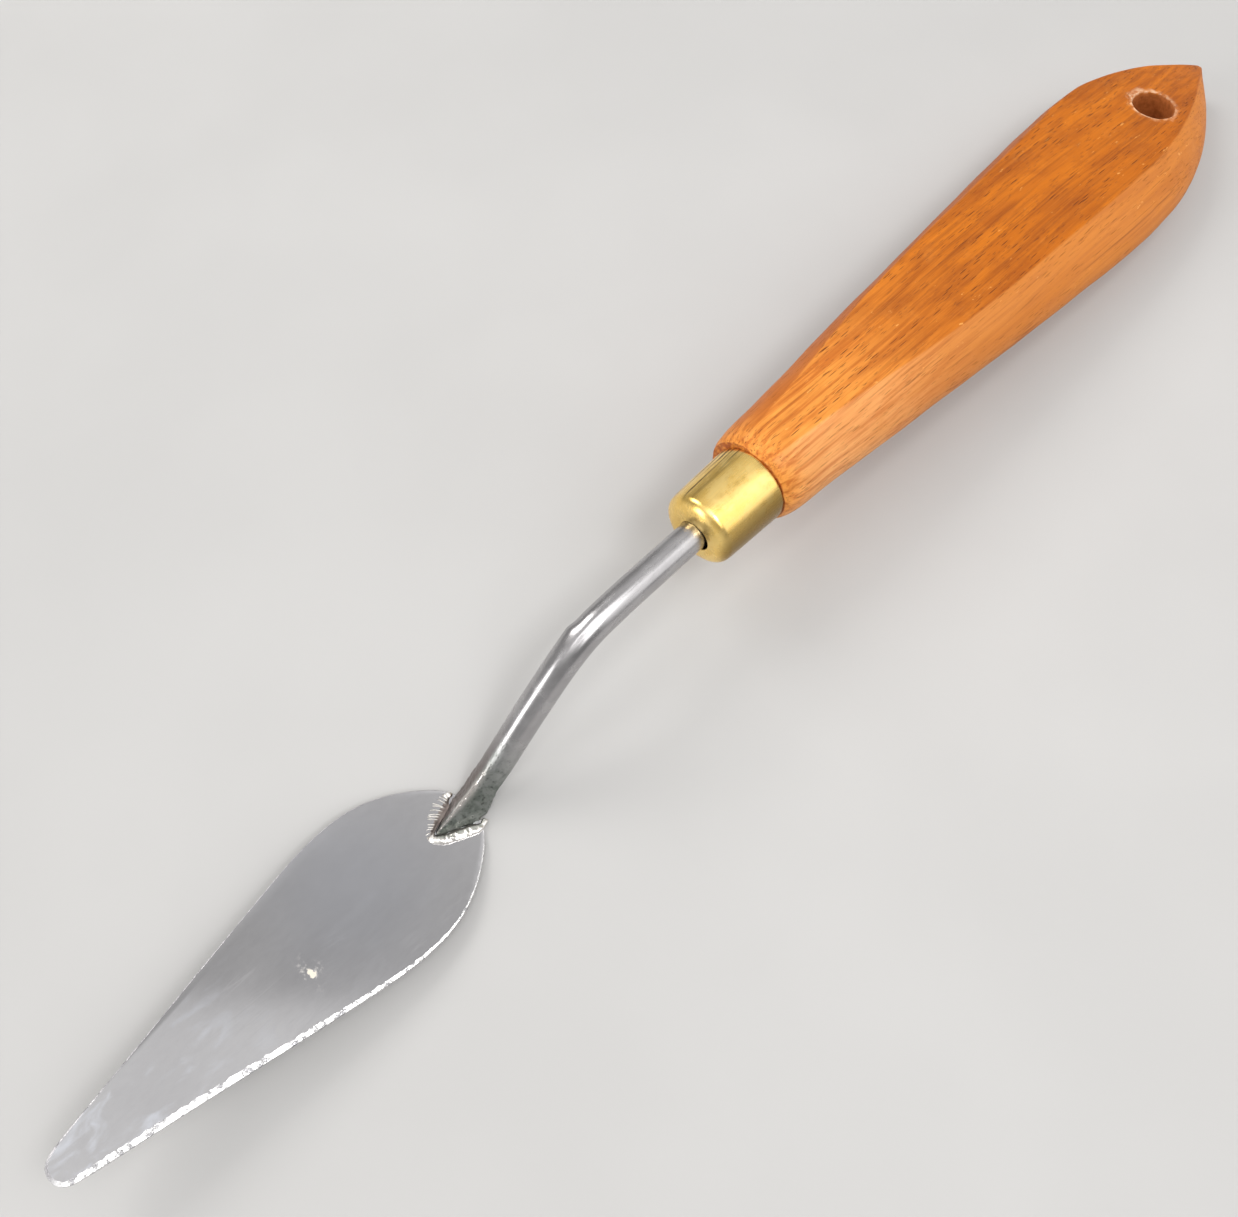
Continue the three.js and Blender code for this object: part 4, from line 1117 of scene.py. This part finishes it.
# ---------------------------------------------------------------- floor, light, camera
def floor():
    me = bpy.data.meshes.new("floor")
    r = 1.6
    me.from_pydata([(-r, -r, 0), (r, -r, 0), (r, r, 0), (-r, r, 0)], [], [(0, 1, 2, 3)])
    o = bpy.data.objects.new("floor", me)
    bpy.context.scene.collection.objects.link(o)
    n = Nodes("floor_pale")
    f = n.noise(n.mm, 0.02, 3, 0.5)
    n.set(Base_Color=n.mix(n.map(f, 0.3, 0.7), srgb(182, 181, 180), srgb(186, 185, 184)), Roughness=0.8, Metallic=0.0)
    me.materials.append(n.mat)
    return o


floor()


def area(name, at, target, size, power, size_y=None, colour=(1, 1, 1)):
    l = bpy.data.lights.new(name, "AREA")
    l.energy, l.color = power, colour
    l.shape = "RECTANGLE" if size_y else "SQUARE"
    l.size = size
    if size_y:
        l.size_y = size_y
    o = bpy.data.objects.new(name, l)
    bpy.context.scene.collection.objects.link(o)
    o.location = at
    o.rotation_euler = (Vector(target) - Vector(at)).to_track_quat("-Z", "Y").to_euler()
    return o


area("key", (-0.06, 0.55, 0.56), (0.0, 0.0, 0.0), 0.36, 2.2, colour=(1.0, 0.985, 0.96))
area("overhead", (-0.01, -0.15, 0.30), (0.0, 0.0, 0.0), 0.12, 0.30, 0.07)

# a plain studio as a smooth function of the direction: grey room, two ceiling panels, a tall strip at the far side
world = bpy.data.worlds.new("studio")
bpy.context.scene.world = world
world.use_nodes = True
wt = world.node_tree
wt.nodes.clear()
wo = wt.nodes.new("ShaderNodeOutputWorld")
bg = wt.nodes.new("ShaderNodeBackground")
wt.links.new(bg.outputs[0], wo.inputs[0])
tc = wt.nodes.new("ShaderNodeTexCoord")
sep = wt.nodes.new("ShaderNodeSeparateXYZ")
wt.links.new(tc.outputs["Generated"], sep.inputs[0])
DX, DY, DZ = sep.outputs


def wmath(op, a, b=0.0):
    n = wt.nodes.new("ShaderNodeMath")
    n.operation = op
    for k, v in enumerate((a, b)):
        if hasattr(v, "is_output"):
            wt.links.new(v, n.inputs[k])
        else:
            n.inputs[k].default_value = v
    return n.outputs[0]


def wstep(v, a, b, lo=0.0, hi=1.0):
    n = wt.nodes.new("ShaderNodeMapRange")
    n.interpolation_type = "SMOOTHSTEP"
    wt.links.new(v, n.inputs["Value"])
    for k, x in zip(("From Min", "From Max", "To Min", "To Max"), (a, b, lo, hi)):
        n.inputs[k].default_value = x
    return n.outputs[0]


def panel(lo, hi, soft, power):
    """Light from directions whose x, y and z lie between lo and hi."""
    v = power
    for d, a, b, s in zip((DX, DY, DZ), lo, hi, soft):
        if a > -1:
            v = wmath("MULTIPLY", wstep(d, a - s, a + s), v)
        if b < 1:
            v = wmath("MULTIPLY", wstep(d, b + s, b - s), v)
    return v


both = wmath("ADD", DX, DY)
zone = wstep(both, 0.472, 0.492, 0.84, 0.47)
zone = wmath("ADD", zone, wstep(both, 0.50, 0.70, 0.0, 0.14))
up = wstep(DZ, 0.55, 0.85)
room = wmath("ADD", wstep(DZ, -0.05, 0.5, 0.42, 0.26), wstep(DX, -0.2, -0.9, 0.0, 0.22))
light = wmath("ADD", wmath("MULTIPLY", zone, up), wmath("MULTIPLY", room, wmath("SUBTRACT", 1.0, up)))
for p in (panel((-0.50, -0.23, 0.2), (0.42, -0.05, 2), (0.05, 0.02, 0.05), 2.7),
          panel((-0.30, -0.78, 0.2), (0.16, -0.41, 2), (0.08, 0.04, 0.05), 2.0),
          panel((0.28, -0.92, 0.12), (0.80, -0.32, 2), (0.10, 0.10, 0.08), 1.25),
          panel((0.42, 0.06, 0.10), (0.80, 0.80, 2), (0.05, 0.10, 0.08), 0.34),
          panel((-2, 0.14, 0.02), (-0.70, 0.42, 0.60), (0.05, 0.04, 0.05), 4.6)):
    light = wmath("ADD", light, p)
# behind the floor there is only a plain pale backdrop
seen = wt.nodes.new("ShaderNodeLightPath").outputs["Is Camera Ray"]
light = wmath("ADD", wmath("MULTIPLY", light, wmath("SUBTRACT", 1.0, seen)), wmath("MULTIPLY", seen, 0.62))
wt.links.new(light, bg.inputs["Strength"])
bg.inputs["Color"].default_value = (1.0, 0.995, 0.985, 1)

view = bpy.context.scene.view_settings
view.view_transform, view.look, view.exposure, view.gamma = "Standard", "None", 0.0, 1.0

cam_data = bpy.data.cameras.new("camera")
cam_data.sensor_fit, cam_data.sensor_width, cam_data.lens = "HORIZONTAL", 36.0, 33.77
cam_data.clip_start, cam_data.clip_end = 0.005, 20.0
cam = bpy.data.objects.new("camera", cam_data)
bpy.context.scene.collection.objects.link(cam)
X, Y, Z = (0.68999, -0.72292, -0.0351), (0.66690, 0.61620, 0.4190), (-0.28128, -0.31254, 0.9073)
rot = Matrix(((X[0], Y[0], Z[0]), (X[1], Y[1], Z[1]), (X[2], Y[2], Z[2]))).to_quaternion().normalized().to_matrix().to_4x4()
cam.matrix_world = Matrix.Translation(Vector(((S0 + 44.09) / 1000, -0.041826, 0.135903))) @ rot
bpy.context.scene.camera = cam
